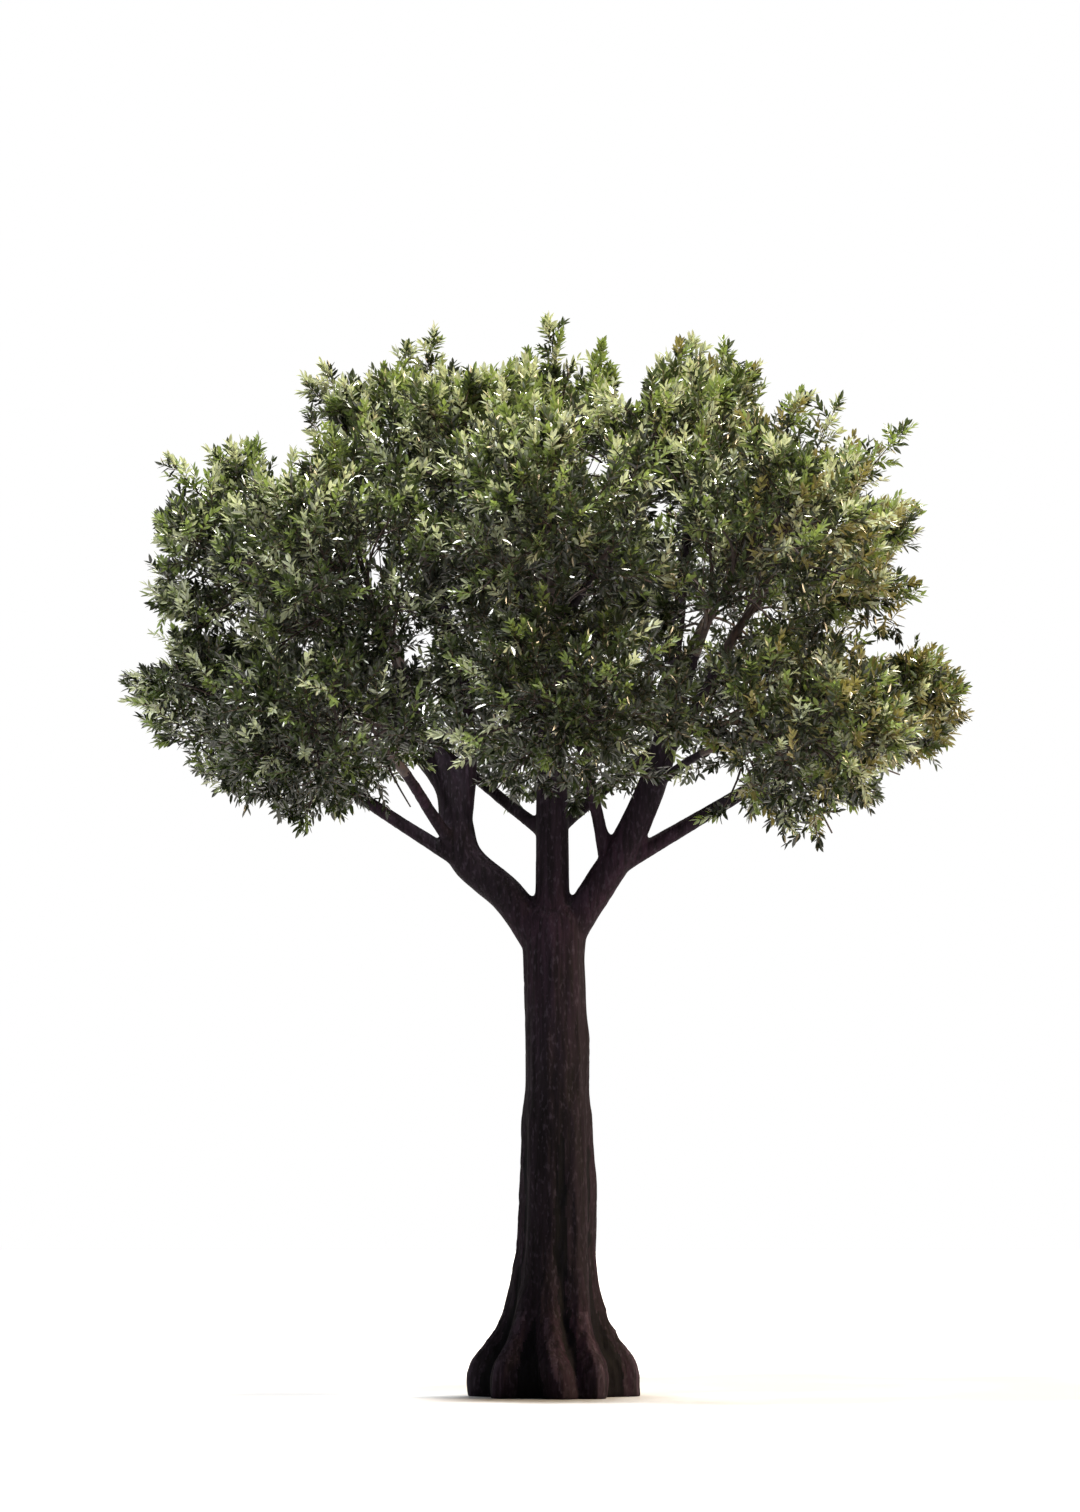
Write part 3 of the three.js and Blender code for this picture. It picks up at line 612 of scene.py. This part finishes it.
def branches_of(mass, rng):
    """Branches from a mass's stem to tips all round inside its shape."""
    axis, sideways, square = mass["axes"]
    count = branch_count(mass)
    order = (np.arange(count) + 0.5) / count
    turn = np.radians(GOLDEN_TURN * np.arange(count) + mass["index"] * MASS_TURN)
    opening = np.radians(WIDEST_OPENING + (NARROWEST_OPENING - WIDEST_OPENING) * order)
    out = axis * (np.cos(opening) * mass["half"][0])[:, None]
    out = out + sideways * (np.sin(opening) * np.cos(turn) * mass["half"][1])[:, None]
    out = out + square * (np.sin(opening) * np.sin(turn) * mass["half"][2])[:, None]
    out *= rng.uniform(*BRANCH_REACH, (count, 1)) / outness(mass, mass["centre"] + out)[:, None]
    for _ in range(BRANCH_TRIES):
        outside = ~in_space(mass, mass["centre"] + out, BRANCH["room"])
        out[outside] *= BRANCH_SHRINK
    tips = mass["centre"] + out
    at = mass["entry"] + (1 - mass["entry"]) * (BRANCHES_FROM + BRANCHES_OVER * order)
    roots = curve(mass["corners"], at)
    ahead = curve(mass["corners"], np.minimum(at + STEM_AHEAD, 1))
    ahead = unit(ahead - roots + NUDGE)
    reach = np.linalg.norm(tips - roots, axis=1, keepdims=True)
    bend = roots + ahead * reach * BRANCH_LEAVING + unit(tips - roots) * reach * BRANCH_TURNING
    shares = np.linspace(0, 1, BRANCH["rings"])
    return np.stack([curve((roots, bend, tips), np.full(count, share)) for share in shares], 1)


def twigs_of(mass, branches, rng):
    """Twigs along each branch, which open less and are shorter towards its tip."""
    lift = TWIG_LIFT + TWIG_UPPER_LIFT * uprightness(mass)
    return grown(mass, sprouted(branches, TWIG, rng), TWIG, lift, TWIG_REACH)


def shoots_of(mass, twigs, rng):
    """Shoots along the outer part of each twig, the last of them at its tip."""
    roots, directions, lengths = sprouted(twigs, SHOOT, rng)
    lift = SHOOT_LIFT + SHOOT_UPPER_LIFT * uprightness(mass)
    directions = unit(directions + np.array([0, 0, lift]))
    low = roots[:, 2] < mass["centre"][2]
    reach = rng.uniform(*SHOOT_REACH, len(roots)) - SHOOT_LOW_LOSS * low
    return grown(mass, (roots, directions, lengths), SHOOT, 0, reach)


def spires_of(mass, rng):
    """The mass's leading shoots, from its stem to just short of their tips."""
    root = curve(mass["corners"], [SPIRE_FROM + (1 - SPIRE_FROM) * mass["entry"]])[0]
    paths = []
    for end in np.array(SPIRES.get(mass["name"], []), float):
        last = end - unit(end - root) * SPIRE_TUFT
        bend = root + (last - root) * SPIRE_BEND + rng.uniform(-SPIRE_SWAY, SPIRE_SWAY, 3)
        paths.append(curve((root, bend, last), np.linspace(0, 1, SPIRE["rings"])))
    return np.array(paths).reshape(-1, SPIRE["rings"], 3)


def spire_shoots_of(spires, rng):
    """Short shoots along the outer half of each leading shoot, the last of them at its tip."""
    roots, directions, lengths = sprouted(spires, SPIRE_SHOOT, rng)
    reached = (directions * lengths[:, None])[:, None]
    paths = roots[:, None] + reached * np.linspace(0, 1, SHOOT["rings"])[:, None]
    return paths[clear_of_wood(paths[:, -1])]


def growth(mass):
    """All the paths of a mass's growth, and its random draws to go on with."""
    rng = np.random.default_rng(GROWTH_SEED * (mass["index"] + 1))
    branches = branches_of(mass, rng)
    twigs = twigs_of(mass, branches, rng)
    shoots = shoots_of(mass, twigs, rng)
    spires = spires_of(mass, rng)
    if len(spires):
        shoots = np.vstack([shoots, spire_shoots_of(spires, rng)])
    return branches, twigs, shoots, spires, rng


def leaves_on(shoots, rng):
    """Leaf vertices of shape (leaves, points, 3): opposite pairs of pointed blades, folded along."""
    count = len(shoots)
    share = np.linspace(LEAVES_FROM, 1.0, LEAF_PAIRS)
    bend = shoots[:, 1] * 2 - (shoots[:, 0] + shoots[:, 2]) / 2
    way = (shoots[:, None, 0], bend[:, None], shoots[:, None, 2])
    roots = curve(way, share[None])
    tangent = unit(curve(way, share[None] + SHOOT_AHEAD) - roots)
    side, up = square_to(tangent)
    turn = (math.pi / 2) * np.arange(LEAF_PAIRS) + rng.uniform(0, 2 * math.pi, (count, 1))
    turn = turn + rng.uniform(-PAIR_TURN_SCATTER, PAIR_TURN_SCATTER, (count, LEAF_PAIRS))
    square = side * np.cos(turn)[..., None] + up * np.sin(turn)[..., None]
    square = np.stack([square, -square], 2)
    opening = np.radians(np.linspace(*LEAF_OPENING, LEAF_PAIRS))[None, :, None]
    scatter = rng.uniform(-LEAF_OPENING_SCATTER, LEAF_OPENING_SCATTER, (count, LEAF_PAIRS, 2))
    opening = (opening + np.radians(scatter))[..., None]
    forward = unit(tangent[:, :, None] * np.cos(opening) + square * np.sin(opening))
    roots = roots[:, :, None]

    # The upper face turns to the light, and each leaf is rolled a little.
    upward = np.array([0, 0, 1.0]) + rng.normal(0, LEAF_ROLL, forward.shape)
    normal = unit(upward - forward * (upward * forward).sum(-1, keepdims=True))
    wide = np.cross(forward, normal)
    shorter = np.linspace(*LEAF_SHORTENING, LEAF_PAIRS)[:, None]
    size = rng.uniform(*LEAF_SIZES, forward.shape[:3]) * shorter
    length = (LEAF_LENGTH * size)[..., None]
    half = (LEAF_WIDTH / 2 * size)[..., None]
    fold = half * LEAF_FOLD
    droop = length * rng.uniform(*LEAF_DROOP, size.shape)[..., None]

    def at(forward_share, wide_share, fold_share, droop_share):
        return (roots + forward * length * forward_share + wide * half * wide_share
                + normal * (fold * fold_share - droop * droop_share))

    return np.stack([at(*point) for point in LEAF_OUTLINE], 3).reshape(-1, LEAF_POINTS, 3)


# Materials.
def colour(red, green, blue):
    """A display colour of 0 to 255 as a linear one with full alpha."""
    channels = [c / 255 for c in (red, green, blue)]
    return [c / 12.92 if c <= 0.04045 else ((c + 0.055) / 1.055) ** 2.4 for c in channels] + [1]


def new_material(name):
    material = bpy.data.materials.new(name)
    material.use_nodes = True
    nodes = material.node_tree.nodes
    return material, nodes, material.node_tree.links, nodes["Principled BSDF"]


def noise(nodes, links, scale, detail, stretch=(1, 1, 1), distortion=0.0):
    """A noise texture laid by object coordinates, stretched by a mapping."""
    place = nodes.new("ShaderNodeTexCoord")
    mapping = nodes.new("ShaderNodeMapping")
    mapping.inputs["Scale"].default_value = stretch
    texture = nodes.new("ShaderNodeTexNoise")
    texture.inputs["Scale"].default_value = scale
    texture.inputs["Detail"].default_value = detail
    texture.inputs["Distortion"].default_value = distortion
    links.new(place.outputs["Object"], mapping.inputs["Vector"])
    links.new(mapping.outputs["Vector"], texture.inputs["Vector"])
    return texture.outputs["Fac"]


def ramp(nodes, links, factor, stops):
    """A colour ramp of (place, colour) stops driven by a factor."""
    made = nodes.new("ShaderNodeValToRGB")
    elements = made.color_ramp.elements
    while len(elements) < len(stops):
        elements.new(0.5)
    for element, (place, tint) in zip(elements, stops):
        element.position = place
        element.color = tint
    links.new(factor, made.inputs["Fac"])
    return made.outputs["Color"]


# Where a colour mix node has its two colours and its result among all its sockets.
FIRST_COLOUR, SECOND_COLOUR, MIXED_COLOUR = 6, 7, 2


def mixed(nodes, links, factor, first, second, blend="MIX"):
    """Two colours mixed by a factor. Each is a plain value or a node's output."""
    node = nodes.new("ShaderNodeMix")
    node.data_type = "RGBA"
    node.blend_type = blend
    for place, value in (("Factor", factor), (FIRST_COLOUR, first), (SECOND_COLOUR, second)):
        if hasattr(value, "is_output"):
            links.new(value, node.inputs[place])
        else:
            node.inputs[place].default_value = value
    return node.outputs[MIXED_COLOUR]


def bark_material(name, tints, speck):
    """Near-black bark of three tints in broad patches, with grey speckles and upright grain."""
    material, nodes, links, shader = new_material(name)
    broad = noise(nodes, links, scale=2.2, detail=3, stretch=(1, 1, 0.45))
    stops = [(place, colour(*tint)) for place, tint in zip((0.35, 0.5, 0.66), tints)]
    ground = ramp(nodes, links, broad, stops)
    grain = noise(nodes, links, scale=46, detail=6, stretch=(1, 1, 0.09), distortion=0.4)
    streaks = [(0.36, colour(150, 144, 146)), (0.62, colour(255, 250, 250))]
    tint = mixed(nodes, links, 1.0, ground, ramp(nodes, links, grain, streaks), "MULTIPLY")
    speckle = noise(nodes, links, scale=70, detail=5, stretch=(1, 1, 0.4))
    speckles = ramp(nodes, links, speckle, [(0.54, (0, 0, 0, 1)), (0.8, (0.7, 0.7, 0.7, 1))])
    tint = mixed(nodes, links, speckles, tint, colour(*speck))
    links.new(tint, shader.inputs["Base Color"])
    rough = nodes.new("ShaderNodeMapRange")
    rough.inputs["To Min"].default_value = 0.62
    rough.inputs["To Max"].default_value = 0.92
    links.new(grain, rough.inputs["Value"])
    links.new(rough.outputs["Result"], shader.inputs["Roughness"])
    shader.inputs["Specular IOR Level"].default_value = 0.08
    bump = nodes.new("ShaderNodeBump")
    bump.inputs["Strength"].default_value = 0.7
    bump.inputs["Distance"].default_value = 0.006
    links.new(grain, bump.inputs["Height"])
    links.new(bump.outputs["Normal"], shader.inputs["Normal"])
    return material


def twig_material(name, dark, light):
    material, nodes, links, shader = new_material(name)
    fine = noise(nodes, links, scale=60, detail=4, stretch=(1, 1, 0.4))
    links.new(ramp(nodes, links, fine, [(0.35, dark), (0.65, light)]), shader.inputs["Base Color"])
    shader.inputs["Roughness"].default_value = 0.78
    return material


# How much darker and lighter a leaf's mottling is than its colour, how much of its light comes
# through the blade, and how much stronger in red, green and blue.
MOTTLE = (0.78, 1.25)
THROUGH_SHARE = 0.26
THROUGH_GAIN = (1.9, 1.9, 1.2)


def leaf_material(name, tint, rough):
    """A leaf's plain base colour, a little mottled, with some light through the blade."""
    material, nodes, links, shader = new_material(name)
    fine = noise(nodes, links, scale=28, detail=3)
    dark = [c * MOTTLE[0] for c in tint[:3]] + [1]
    light = [min(1, c * MOTTLE[1]) for c in tint[:3]] + [1]
    varied = ramp(nodes, links, fine, [(0.35, dark), (0.65, light)])
    links.new(varied, shader.inputs["Base Color"])
    shader.inputs["Roughness"].default_value = rough
    shader.inputs["Specular IOR Level"].default_value = 0.75
    through = nodes.new("ShaderNodeBsdfTranslucent")
    lit = [min(1, c * gain) for c, gain in zip(tint, THROUGH_GAIN)]
    through.inputs["Color"].default_value = lit + [1]
    mix = nodes.new("ShaderNodeMixShader")
    mix.inputs["Fac"].default_value = THROUGH_SHARE
    links.new(shader.outputs["BSDF"], mix.inputs[1])
    links.new(through.outputs["BSDF"], mix.inputs[2])
    links.new(mix.outputs["Shader"], nodes["Material Output"].inputs["Surface"])
    return material


BARK_MATERIALS = [
    bark_material("bark_dark", [(21, 16, 22), (27, 20, 28), (37, 24, 35)], (56, 49, 59)),
    # Near-black tints painted as shade down in the trunk's flutes.
    bark_material("bark_hollow_painted_shade", [(6, 6, 10), (8, 7, 12), (11, 8, 14)], (20, 18, 26)),
    # Pale tints painted as a highlight along the root ridges' crests.
    bark_material("bark_crest_painted_highlight", [(44, 38, 47), (48, 40, 50), (54, 42, 52)], (70, 62, 72)),
]
TWIG_BARK = twig_material("bark_twig", colour(31, 22, 22), colour(58, 40, 36))
SHOOT_BARK = twig_material("bark_shoot", colour(60, 44, 30), colour(86, 66, 44))
# The leaves' own dark and olive greens, a bright green that is painted sunlight, a silver that is
# partly the leaves' pale tone and partly a painted highlight, and an olive-gold painted glow.
LEAF_MATERIALS = [
    leaf_material("leaf_dark", colour(25, 31, 18), 0.3),
    leaf_material("leaf_olive", colour(44, 54, 27), 0.28),
    leaf_material("leaf_bright_painted_light", colour(96, 110, 62), 0.3),
    leaf_material("leaf_silver_and_painted_highlight", colour(142, 148, 128), 0.24),
    leaf_material("leaf_warm_painted_glow", colour(98, 93, 56), 0.32),
]
# The share of sprays that each leaf colour is dealt to: in the shade inside and below, where
# more dark leaves paint shade, on the sunny outside and top, where more bright and silver leaves
# paint light and highlights, and out on the right.
SHADE_SHARES = np.array([0.56, 0.3, 0.08, 0.06, 0])
SUNNY_SHARES = np.array([0.08, 0.15, 0.33, 0.44, 0])
# Out on the right, olive-gold leaves are dealt out as a painted golden glow of light.
RIGHT_GLOW_SHARES = np.array([0.08, 0.18, 0.24, 0.12, 0.38])
# Where each of these begins and over how much it grows to its full strength: how far out in a
# mass, how high in the crown, how far left and how high there, and how far right.
OUTER = (0.55, 0.4)
HIGH = (3750, 1100)
LEFT = (800, 900)
LEFT_HIGH = (3100, 900)
RIGHT = (500, 1100)
# How strong the left and the right get, how sunny the lowest sprays are, and the innermost.
SIDE_STRENGTH = 0.8
LOWEST_SUN = 0.06
INNER_SUN = 0.3


def dealt_colours(mass, shoots, rng):
    """The leaf colour of each shoot, dealt out by where it stands in the crown, painting shade and
    light.
    """
    tips = shoots[:, -1]
    x, z = tips[:, 0], tips[:, 2]
    outer = INNER_SUN + (1 - INNER_SUN) * risen(outness(mass, tips), *OUTER)
    left = risen(-x, *LEFT) * risen(z, *LEFT_HIGH) * SIDE_STRENGTH
    sunny = np.maximum(LOWEST_SUN + (1 - LOWEST_SUN) * risen(z, *HIGH), left) * outer
    right = risen(x, *RIGHT) * outer * SIDE_STRENGTH
    shares = SHADE_SHARES + (SUNNY_SHARES - SHADE_SHARES) * sunny[:, None]
    shares = shares + (RIGHT_GLOW_SHARES - shares) * right[:, None]
    return (shares.cumsum(1) < rng.random((len(tips), 1)) * shares.sum(1, keepdims=True)).sum(1)


# The wood: trunk, limbs and boughs as one skin with the bark's relief.
# Whole numbers that scramble a cell's place into noise.
NOISE_PRIMES = np.array([73856093, 19349663, 83492791])
NOISE_FACTORS = (1274126177, 1103515245)
NOISE_SHIFT = 13
NOISE_MOST = 0x7FFFFFFF


def value_noise(points, kind):
    """Smooth noise from -1 to 1 on points, by a kind's seed and its cell size on each axis."""
    p = points / np.asarray(kind["cell"], float)
    low = np.floor(p).astype(np.int64)
    t = p - low
    t = t * t * (3 - 2 * t)
    total = np.zeros(len(p))
    for corner in np.ndindex(2, 2, 2):
        bits = np.bitwise_xor.reduce((low + np.array(corner)) * NOISE_PRIMES, axis=1) ^ kind["seed"]
        bits = (bits * NOISE_FACTORS[0]) & NOISE_MOST
        bits = ((bits ^ (bits >> NOISE_SHIFT)) * NOISE_FACTORS[1]) & NOISE_MOST
        weight = np.prod(np.where(np.array(corner) == 1, t, 1 - t), axis=1)
        total += weight * (bits / (NOISE_MOST // 2) - 1)
    return total


def ridge(azimuth, height):
    """How near azimuths are to the crest of a root ridge: 1 on a crest, 0 in a flute."""
    shift, width = along(RIDGE_SHIFT, height), along(RIDGE_WIDTH, height)
    best = np.zeros(np.broadcast(azimuth, height).shape)
    for foot, above, strength in ROOT_RIDGES:
        at = foot + (above - foot) * shift
        off = np.abs((azimuth - at + 540) % 360 - 180) / width
        best = np.maximum(best, strength * np.exp(-off * off))
    return best


def eased(table, heights):
    """A table's values at heights, with its corners eased."""
    fine = np.linspace(0, table[-1][0], EASING_SAMPLES)
    kernel = np.exp(-np.linspace(-2, 2, EASING_SPAN) ** 2)
    kernel /= kernel.sum()
    padded = np.pad(along(table, fine), EASING_SPAN // 2, "edge")
    return np.interp(heights, fine, np.convolve(padded, kernel, "valid"))


def trunk_mesh():
    """The trunk as a closed tube of level rings, its profile eased between the named heights."""
    top = RIDGE_REACH[-1][0]
    sides = TRUNK_SIDES
    heights = np.linspace(0, top, int(top / TRUNK_STEP) + 1)
    azimuth = np.arange(sides) * 360.0 / sides
    share = eased(FLUTE_SHARE, heights)[:, None]
    reach = eased(RIDGE_REACH, heights)[:, None]
    reach = reach * (1 - share * (1 - ridge(azimuth, heights[:, None])))
    turn = np.radians(azimuth)
    x = eased(TRUNK_SWAY, heights)[:, None] + reach * np.cos(turn)
    y = reach * np.sin(turn) * eased(TRUNK_DEPTH, heights)[:, None]
    z = np.repeat(heights[:, None], sides, 1)
    vertices = np.stack([x, y, z], -1).reshape(-1, 3)
    here = np.arange(sides)
    after = (here + 1) % sides
    low = (np.arange(len(heights) - 1) * sides)[:, None]
    bottom = len(vertices)
    vertices = np.vstack([vertices, [[0, 0, 0], [0, 0, top]]])
    last = (len(heights) - 1) * sides
    caps = np.vstack([
        np.stack([np.full(sides, bottom), after, here], -1),
        np.stack([np.full(sides, bottom + 1), last + here, last + after], -1),
    ])
    return vertices, walls(low, sides), caps


def limb_mesh(name):
    u = np.linspace(0, 1, LIMB_RINGS)
    return tubes(limb_point(name, u)[None], limb_radius(name, u)[None], LIMB_SIDES)


def bough_mesh(mass):
    """A bough with a collar where it leaves its limb, and its end round its stem's start."""
    u = np.linspace(0, mass["entry"], BOUGH_RINGS)
    collar = 1 + COLLAR * np.exp(-u / mass["entry"] / COLLAR_LENGTH)
    radii = bough_radius(mass, u) * collar
    return tubes(curve(mass["corners"], u)[None], radii[None], BOUGH_SIDES)


def apply_modifier(made, kind, **settings):
    modifier = made.modifiers.new(kind.lower(), kind)
    for key, value in settings.items():
        setattr(modifier, key, value)
    graph = bpy.context.evaluated_depsgraph_get()
    fresh = bpy.data.meshes.new_from_object(made.evaluated_get(graph))
    made.modifiers.clear()
    made.data = fresh


def relief(points, normals):
    """How far the bark stands out at each point, in millimetres: knobs, cords and fine grain."""
    thickness = np.clip((RELIEF_TOP - points[:, 2]) / RELIEF_FADE, LEAST_RELIEF, 1)
    knobs = value_noise(points, KNOBS) * KNOBS["height"]
    cords = value_noise(points, CORDS)
    cords = (1 - np.abs(cords)) ** 2 * CORDS["height"] - CORDS["sunk"]
    grain = value_noise(points, GRAIN) * GRAIN["height"]
    pits = value_noise(points, PITS)
    pits = np.minimum(0, pits + PITS["free"]) * PITS["height"]
    level = risen(points[:, 2], 0, GROUND_FADE) * (1 - np.abs(normals[:, 2]) ** LEVEL_POWER)
    return (knobs + cords + grain + pits) * thickness * level


def vectors_of(items, key):
    """The vector that each of a mesh's items has under a key."""
    values = np.empty(len(items) * 3, np.float32)
    items.foreach_get(key, values)
    return values.reshape(-1, 3).astype(float)


def bark_slots(mesh):
    """For each face: 1 for painted shade down in the trunk's hollows, 2 for a painted highlight on a
    root's crest, else 0.
    """
    centres = vectors_of(mesh.polygons, "center") / MM
    height = centres[:, 2]
    azimuth = np.degrees(np.arctan2(centres[:, 1], centres[:, 0] - along(TRUNK_SWAY, height)))
    crest = ridge(azimuth, height)
    ragged = value_noise(centres, RAGGED) * RAGGED["hollows"]
    # The hollows' near-black tint is painted shade, and the crests' pale tint a painted highlight.
    shaded_hollow = (1 - crest) * along(HOLLOW_SHADE, height) + ragged > HOLLOW_FROM
    lit_crest = (crest + ragged * RAGGED["crests"] > CREST_FROM) & (height < CREST_HEIGHT)
    return np.where(shaded_hollow, 1, np.where(lit_crest, 2, 0))


wood_parts = [trunk_mesh(), *map(limb_mesh, LIMBS), *map(bough_mesh, masses)]
wood = mesh_object("bark_skin", *joined(wood_parts))
apply_modifier(wood, "REMESH", mode="VOXEL", voxel_size=0.0115, use_smooth_shade=True)
apply_modifier(wood, "SMOOTH", factor=0.5, iterations=5)
points = vectors_of(wood.data.vertices, "co") / MM
normals = vectors_of(wood.data.vertex_normals, "vector")
points += normals * relief(points, normals)[:, None]
points[:, 2] = np.maximum(points[:, 2], 0)
wood.data.vertices.foreach_set("co", (points * MM).astype(np.float32).ravel())
wood.data.update()
for material in BARK_MATERIALS:
    wood.data.materials.append(material)
wood.data.polygons.foreach_set("material_index", bark_slots(wood.data).astype(np.int32))
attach(wood, "root")
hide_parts(*[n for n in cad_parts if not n.startswith("foliage")])


# The crown, joined by kind and by part of the crown.
def crown_part(mass):
    if mass["tier"] in ("top", "heart"):
        return "upper_front"
    return f"{mass['tier']}_{'front' if math.sin(math.radians(mass['azimuth'])) < 0 else 'back'}"


leaf_parts, twig_parts, shoot_parts = {}, [], []
for mass in masses:
    branches, twigs, shoots, spires, rng = growth(mass)
    u = np.linspace(mass["entry"] - STEM_OVERLAP, 1, STEM_RINGS)
    stem = curve(mass["corners"], u)[None]
    twig_parts.append(tubes(stem, stem_radius(mass, u)[None], STEM_SIDES))
    for paths, kind, home in (
        (branches, BRANCH, twig_parts),
        (twigs, TWIG, twig_parts),
        (spires, SPIRE, twig_parts),
        (shoots[:, [0, -1]], SHOOT, shoot_parts),
    ):
        radii = np.tile(np.linspace(*kind["radii"], paths.shape[1]), (len(paths), 1))
        home.append(tubes(paths, radii, kind["sides"]))
    spray = dealt_colours(mass, shoots, rng)
    part = leaf_parts.setdefault(crown_part(mass), {"leaves": [], "slots": [], "nodes": []})
    part["leaves"].append(leaves_on(shoots, rng))
    part["slots"].append(np.repeat(spray, LEAF_PAIRS * 2))
    part["nodes"].append(f"foliage_{mass['name']}")

foliage_nodes = [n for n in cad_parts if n.startswith("foliage")]
for name, parts, material in (("twigs", twig_parts, TWIG_BARK), ("shoots", shoot_parts, SHOOT_BARK)):
    made = mesh_object(name, *joined(parts))
    made.data.materials.append(material)
    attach(made, "root")
    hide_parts(*foliage_nodes)

for name, part in leaf_parts.items():
    leaves = np.concatenate(part["leaves"])
    slots = np.repeat(np.concatenate(part["slots"]), len(LEAF_TRIANGLES))
    offset = np.arange(len(leaves))[:, None, None] * LEAF_POINTS
    triangles = (LEAF_TRIANGLES + offset).reshape(-1, 3)
    quads = np.empty((0, 4), int)
    made = mesh_object(f"leaves_{name}", leaves.reshape(-1, 3), quads, triangles, slots, smooth=False)
    for material in LEAF_MATERIALS:
        made.data.materials.append(material)
    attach(made, "root")
    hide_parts(*part["nodes"])


# The pale floor, soft light and camera.
FLOOR_HALF = 60.0


def floor():
    mesh = bpy.data.meshes.new("floor")
    low, high = -FLOOR_HALF, FLOOR_HALF
    corners = [(low, low, 0), (high, low, 0), (high, high, 0), (low, high, 0)]
    mesh.from_pydata(corners, [], [(0, 1, 2, 3)])
    material, _, _, shader = new_material("floor_pale")
    shader.inputs["Base Color"].default_value = (0.36, 0.36, 0.37, 1)
    shader.inputs["Roughness"].default_value = 0.9
    mesh.materials.append(material)
    placed("floor", mesh)


def sun(name, azimuth, height, strength, spread, tint):
    """A soft sun that shines from an azimuth and height above the ground, in degrees."""
    data = bpy.data.lights.new(name, "SUN")
    data.energy = strength
    data.angle = math.radians(spread)
    data.color = tint
    shine = Vector(direction_of(azimuth, height)).to_track_quat("Z", "Y")
    placed(name, data).rotation_euler = shine.to_euler()


def studio(seen, cast):
    """A white studio all round, as bright as seen to the camera and as cast on the tree."""
    world = bpy.data.worlds.new("studio")
    world.use_nodes = True
    nodes, links = world.node_tree.nodes, world.node_tree.links
    light = nodes["Background"]
    light.inputs["Color"].default_value = (1, 1, 1, 1)
    light.inputs["Strength"].default_value = cast
    backdrop = nodes.new("ShaderNodeBackground")
    backdrop.inputs["Color"].default_value = (1, 1, 1, 1)
    backdrop.inputs["Strength"].default_value = seen
    path = nodes.new("ShaderNodeLightPath")
    mix = nodes.new("ShaderNodeMixShader")
    links.new(path.outputs["Is Camera Ray"], mix.inputs["Fac"])
    links.new(light.outputs["Background"], mix.inputs[1])
    links.new(backdrop.outputs["Background"], mix.inputs[2])
    links.new(mix.outputs["Shader"], nodes["World Output"].inputs["Surface"])
    bpy.context.scene.world = world


# What the camera sees: how high it aims in the trunk's plane and how high the frame is there, in
# metres. Its sensor, in millimetres, lies along the frame's longer side, and it sees this far.
AIM_HEIGHT = 3.176
FRAME_HEIGHT = 7.56
SENSOR = 36
FARTHEST = 300


def add_camera():
    """A camera at the tree's front, level with the lower trunk."""
    data = bpy.data.cameras.new("camera")
    camera = placed("camera", data)
    eye, aim = Vector(EYE) * MM, Vector((EYE[0] * MM, 0, AIM_HEIGHT))
    camera.location = eye
    camera.rotation_euler = (aim - eye).to_track_quat("-Z", "Y").to_euler()
    data.sensor_width = SENSOR
    data.lens = SENSOR * (aim - eye).length / FRAME_HEIGHT
    data.clip_end = FARTHEST
    bpy.context.scene.camera = camera


floor()
sun("key", azimuth=-140, height=66, strength=8.4, spread=6, tint=(1, 1, 0.98))
sun("rim", azimuth=48, height=62, strength=8.4, spread=8, tint=(1, 0.94, 0.84))
sun("glow", azimuth=-10, height=24, strength=5.6, spread=16, tint=(1, 0.76, 0.48))
studio(seen=1.0, cast=0.14)
bpy.context.scene.view_settings.view_transform = "Standard"
add_camera()
